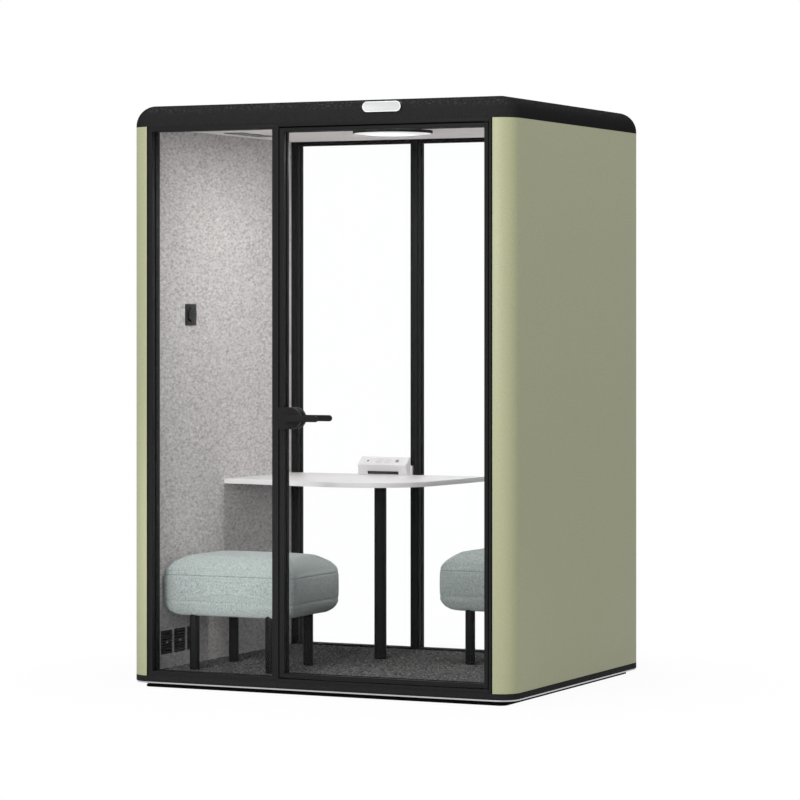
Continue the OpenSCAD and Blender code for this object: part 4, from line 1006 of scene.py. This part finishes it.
class BOOTH_OT_stools(bpy.types.Operator):
    """Pads the two stool seats with cloth, sews their seams and finishes their legs"""
    bl_idname = "booth.stools"
    bl_label = "Padded stools"

    def execute(self, context):
        sizes = context.scene.booth_sizes
        seat = self.pad("left_stool_seat", sizes)
        low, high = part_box("left_stool_seat")
        other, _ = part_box("right_stool_seat")
        twin = moved_copy(seat, other - low)
        for piece, side in ((seat, "left"), (twin, "right")):
            place_piece(piece, side + "_seat_cover", side + "_stool",
                        "seat_cloth")
            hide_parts(side + "_stool_seat")
            soften(side + "_stool_legs", sizes.metal_edge, "leg_coat")
        return {"FINISHED"}

    def pad(self, node, sizes):
        """Makes a seat's cover: plumped up, remeshed, filled and sewn."""
        low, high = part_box(node)
        middle = (low + high) / 2
        piece = copy_of(node)
        size = high - low
        shrink = Vector([1.0 - 2.0 * sizes.cushion_start / axis for axis in size])
        shrink.z = 1.0 - sizes.cushion_start / size.z
        self.close_sockets(piece, low, middle, sizes)
        fixed = np.array([middle.x, middle.y, low.z])
        start = fixed + (read_points(piece) - fixed) * np.array(shrink)
        self.plump(start, low, middle, size, sizes)
        write_points(piece, start)
        apply_modifier(piece, "REMESH", mode="VOXEL", voxel_size=sizes.cushion_grain)
        self.fill(piece, low, sizes)
        apply_modifier(piece, "SUBSURF", levels=1, render_levels=1)
        self.sew(piece, low, sizes)
        pick(piece)
        bpy.ops.object.shade_smooth()
        return piece

    def close_sockets(self, piece, low, middle, sizes):
        """Takes the four sockets out of the copy, so that the cover runs on round the legs."""
        def in_socket(centre, normal):
            reach = math.hypot(abs(centre.x - middle.x) - sizes.leg_across / 2,
                               abs(centre.y - middle.y) - sizes.leg_along / 2)
            return reach < sizes.socket_reach and centre.z < low.z + sizes.low_seam
        select_faces(piece, in_socket)
        bpy.ops.mesh.delete(type="FACE")
        bpy.ops.mesh.select_all(action="SELECT")
        bpy.ops.mesh.fill_holes(sides=0)
        turn_outwards()

    def plump(self, points, low, middle, size, sizes):
        """Fills the hollows over and under the seams, the ones at the front and back most."""
        height = points[:, 2] - low.z
        down = np.clip(1.0 - height / sizes.low_seam, 0.0, 1.0)
        up = np.clip((height - sizes.high_seam) / sizes.dome_height, 0.0, 1.0)
        under = sizes.under_inset * (1.0 - np.sqrt(1.0 - down ** 2))
        over = sizes.dome_inset * (1.0 - np.sqrt(1.0 - up ** 2))
        inset = under + over
        gain = sizes.under_fill * under + sizes.dome_fill * over
        for axis, share in ((0, 0.4 * gain * (up > 0.0)), (1, gain)):
            half = size[axis] / 2
            off = points[:, axis] - middle[axis]
            points[:, axis] = middle[axis] + off * (1.0 + share / (half - inset))

    def fill(self, piece, low, sizes):
        """Blows the cover up a little against its seams and its flat underside."""
        before = read_points(piece)
        held = piece.vertex_groups.new(name="held")
        for index, point in enumerate(before):
            near = min(abs(point[2] - height) for height in self.seams(low, sizes))
            weight = max(0.0, 1.0 - near / HELD_AT_SEAM)
            if point[2] < low.z + HELD_AT_UNDERSIDE:
                weight = 1.0
            if weight > 0.0:
                held.add([index], weight, "REPLACE")
        cloth = piece.modifiers.new("cover", "CLOTH")
        cloth.settings.use_pressure = True
        cloth.settings.uniform_pressure_force = sizes.cushion_pressure
        cloth.settings.effector_weights.gravity = 0.0
        cloth.settings.vertex_group_mass = "held"
        cloth.settings.quality = 5
        cloth.collision_settings.use_collision = False
        cloth.point_cache.frame_start = 1
        cloth.point_cache.frame_end = FILLING_STEPS
        for step in range(1, FILLING_STEPS + 1):
            bpy.context.scene.frame_set(step)
        pick(piece)
        bpy.ops.object.modifier_apply(modifier=cloth.name)
        bpy.context.scene.frame_set(1)
        move = read_points(piece) - before
        far = np.linalg.norm(move, axis=1, keepdims=True)
        move *= np.minimum(1.0, sizes.cushion_swell / np.maximum(far, 1e-9))
        write_points(piece, before + move)
        piece.vertex_groups.clear()

    def seams(self, low, sizes):
        """Heights of the two seams that run round a seat."""
        return (low.z + sizes.low_seam, low.z + sizes.high_seam)

    def sew(self, piece, low, sizes):
        """Draws the cover in along the two seams."""
        points = read_points(piece)
        normals = read_points(piece, "normal")
        normals[:, 2] = 0.0
        size = np.linalg.norm(normals, axis=1, keepdims=True)
        normals /= np.maximum(size, 0.2)
        for height, depth in zip(self.seams(low, sizes), (0.6, 1.0)):
            near = np.abs(points[:, 2] - height) / sizes.seam_reach
            pull = np.where(near < 1.0, (1.0 - near) ** 2, 0.0) * sizes.seam_depth * depth
            points -= normals * pull[:, None]
        write_points(piece, points)


class BOOTH_OT_stage(bpy.types.Operator):
    """Sets up the floor, the surroundings, the lamps and the camera"""
    bl_idname = "booth.stage"
    bl_label = "Floor, lamps and camera"

    def execute(self, context):
        self.floor()
        self.world(context)
        low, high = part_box("lamp_diffuser")
        middle = (low + high) / 2
        self.lamp("front softbox", "AREA", (0.5, -6.6, 3.2), (0.0, 0.0, 1.0), energy=240.0,
                  size=3.0)
        self.lamp("top softbox", "AREA", (0.5, -0.5, 6.5), (0.0, 0.0, 0.0), energy=120.0,
                  size=4.0)
        self.lamp("low spot", "SPOT", (0.55, -6.5, 1.7), (-0.43, -0.5, 0.54), energy=650.0,
                  shadow_soft_size=0.3, spot_size=math.radians(10.0), spot_blend=0.6)
        self.lamp("ceiling lamp light", "AREA", (middle.x, middle.y, low.z - 0.004),
                  (middle.x, middle.y, 0.0), energy=10.5, size=0.27, shape="DISK")
        self.camera(context)
        context.scene.view_settings.view_transform = "Standard"
        return {"FINISHED"}

    def floor(self):
        clear_selection()
        bpy.ops.mesh.primitive_circle_add(vertices=96, radius=9.0, fill_type="NGON")
        floor = bpy.context.object
        bpy.ops.object.mode_set(mode="EDIT")
        bpy.ops.mesh.select_mode(type="FACE")
        bpy.ops.mesh.select_all(action="SELECT")
        bpy.ops.mesh.inset(thickness=4.0)
        bpy.ops.object.mode_set(mode="OBJECT")
        floor.name = "studio_floor"
        ground = Finish("pale studio floor")
        flat = ground.add("ShaderNodeMapping", {
            "Vector": ground.place, "Scale": (1.0, 1.0, 0.0)})
        reach = ground.add("ShaderNodeVectorMath", {0: flat.outputs[0]}, operation="LENGTH")
        fade = ground.spread(reach.outputs["Value"], 1.0, 1.7, 0.95, 1.0)
        speck = ground.spread(ground.noise(80.0, 3.0), 0.3, 0.7)
        matt = ground.add("ShaderNodeBsdfDiffuse", {
            "Color": ground.blend(speck, (0.86, 0.86, 0.86), (0.88, 0.88, 0.88))})
        white = ground.add("ShaderNodeEmission", {"Strength": 1.0})
        ground.surface(ground.add("ShaderNodeMixShader", {
            0: ground.maths(ground.seen(), fade, "MULTIPLY"), 1: matt.outputs[0],
            2: white.outputs[0]}))
        floor.data.materials.append(ground.material)

    def world(self, context):
        """White where it is seen, and a softer light all round."""
        world = bpy.data.worlds.new("studio")
        context.scene.world = world
        world.use_nodes = True
        world.node_tree.nodes.clear()
        sky = Nodes(world.node_tree)
        soft = sky.add("ShaderNodeBackground", {"Color": (0.97, 0.985, 1.0), "Strength": 0.38})
        white = sky.add("ShaderNodeBackground", {"Color": (1.0, 1.0, 1.0), "Strength": 1.0})
        mix = sky.add("ShaderNodeMixShader", {
            0: sky.seen(), 1: soft.outputs[0], 2: white.outputs[0]})
        sky.add("ShaderNodeOutputWorld", {"Surface": mix.outputs[0]})

    def lamp(self, name, kind, place, target, **settings):
        light = bpy.data.lights.new(name, kind)
        for key, value in settings.items():
            setattr(light, key, value)
        lamp = bpy.data.objects.new(name, light)
        bpy.context.scene.collection.objects.link(lamp)
        lamp.location = place
        aim = Vector(target) - Vector(place)
        lamp.rotation_euler = aim.to_track_quat("-Z", "Y").to_euler()

    def camera(self, context):
        lens = bpy.data.cameras.new("photo view")
        lens.sensor_width = 36.0
        lens.lens = 148.67
        lens.shift_y = -0.1072
        view = bpy.data.objects.new("photo view", lens)
        context.scene.collection.objects.link(view)
        view.location = (5.73908, -12.04066, 1.4747)
        view.rotation_euler = (math.radians(90.0), 0.0, math.radians(25.32))
        context.scene.camera = view


PIECE_OPERATORS = (
    BOOTH_OT_carcass, BOOTH_OT_frames, BOOTH_OT_glazing, BOOTH_OT_lining, BOOTH_OT_lock,
    BOOTH_OT_badge, BOOTH_OT_ceiling, BOOTH_OT_wall_grilles, BOOTH_OT_switch, BOOTH_OT_table,
    BOOTH_OT_socket_box, BOOTH_OT_stools, BOOTH_OT_stage,
)


class BOOTH_PT_panel(bpy.types.Panel):
    bl_idname = "BOOTH_PT_panel"
    bl_label = "Recording booth"
    bl_space_type = "VIEW_3D"
    bl_region_type = "UI"
    bl_category = "Booth"

    def draw(self, context):
        for group in (context.scene.booth_sizes, context.scene.booth_colours):
            column = self.layout.column()
            for name in group.__annotations__:
                column.prop(group, name)
        column = self.layout.column()
        for operator in PIECE_OPERATORS:
            column.operator(operator.bl_idname)


CLASSES = (BoothSizes, BoothColours, *PIECE_OPERATORS, BOOTH_PT_panel)


def register():
    for item in CLASSES:
        bpy.utils.register_class(item)
    bpy.types.Scene.booth_sizes = bpy.props.PointerProperty(type=BoothSizes)
    bpy.types.Scene.booth_colours = bpy.props.PointerProperty(type=BoothColours)


def unregister():
    del bpy.types.Scene.booth_colours
    del bpy.types.Scene.booth_sizes
    for item in reversed(CLASSES):
        bpy.utils.unregister_class(item)


def main():
    register()
    bpy.ops.booth.carcass()
    bpy.ops.booth.frames()
    bpy.ops.booth.glazing()
    bpy.ops.booth.lining()
    bpy.ops.booth.lock()
    bpy.ops.booth.badge()
    bpy.ops.booth.ceiling()
    bpy.ops.booth.wall_grilles()
    bpy.ops.booth.switch()
    bpy.ops.booth.table()
    bpy.ops.booth.socket_box()
    bpy.ops.booth.stools()
    bpy.ops.booth.stage()


if __name__ == "__main__":
    main()
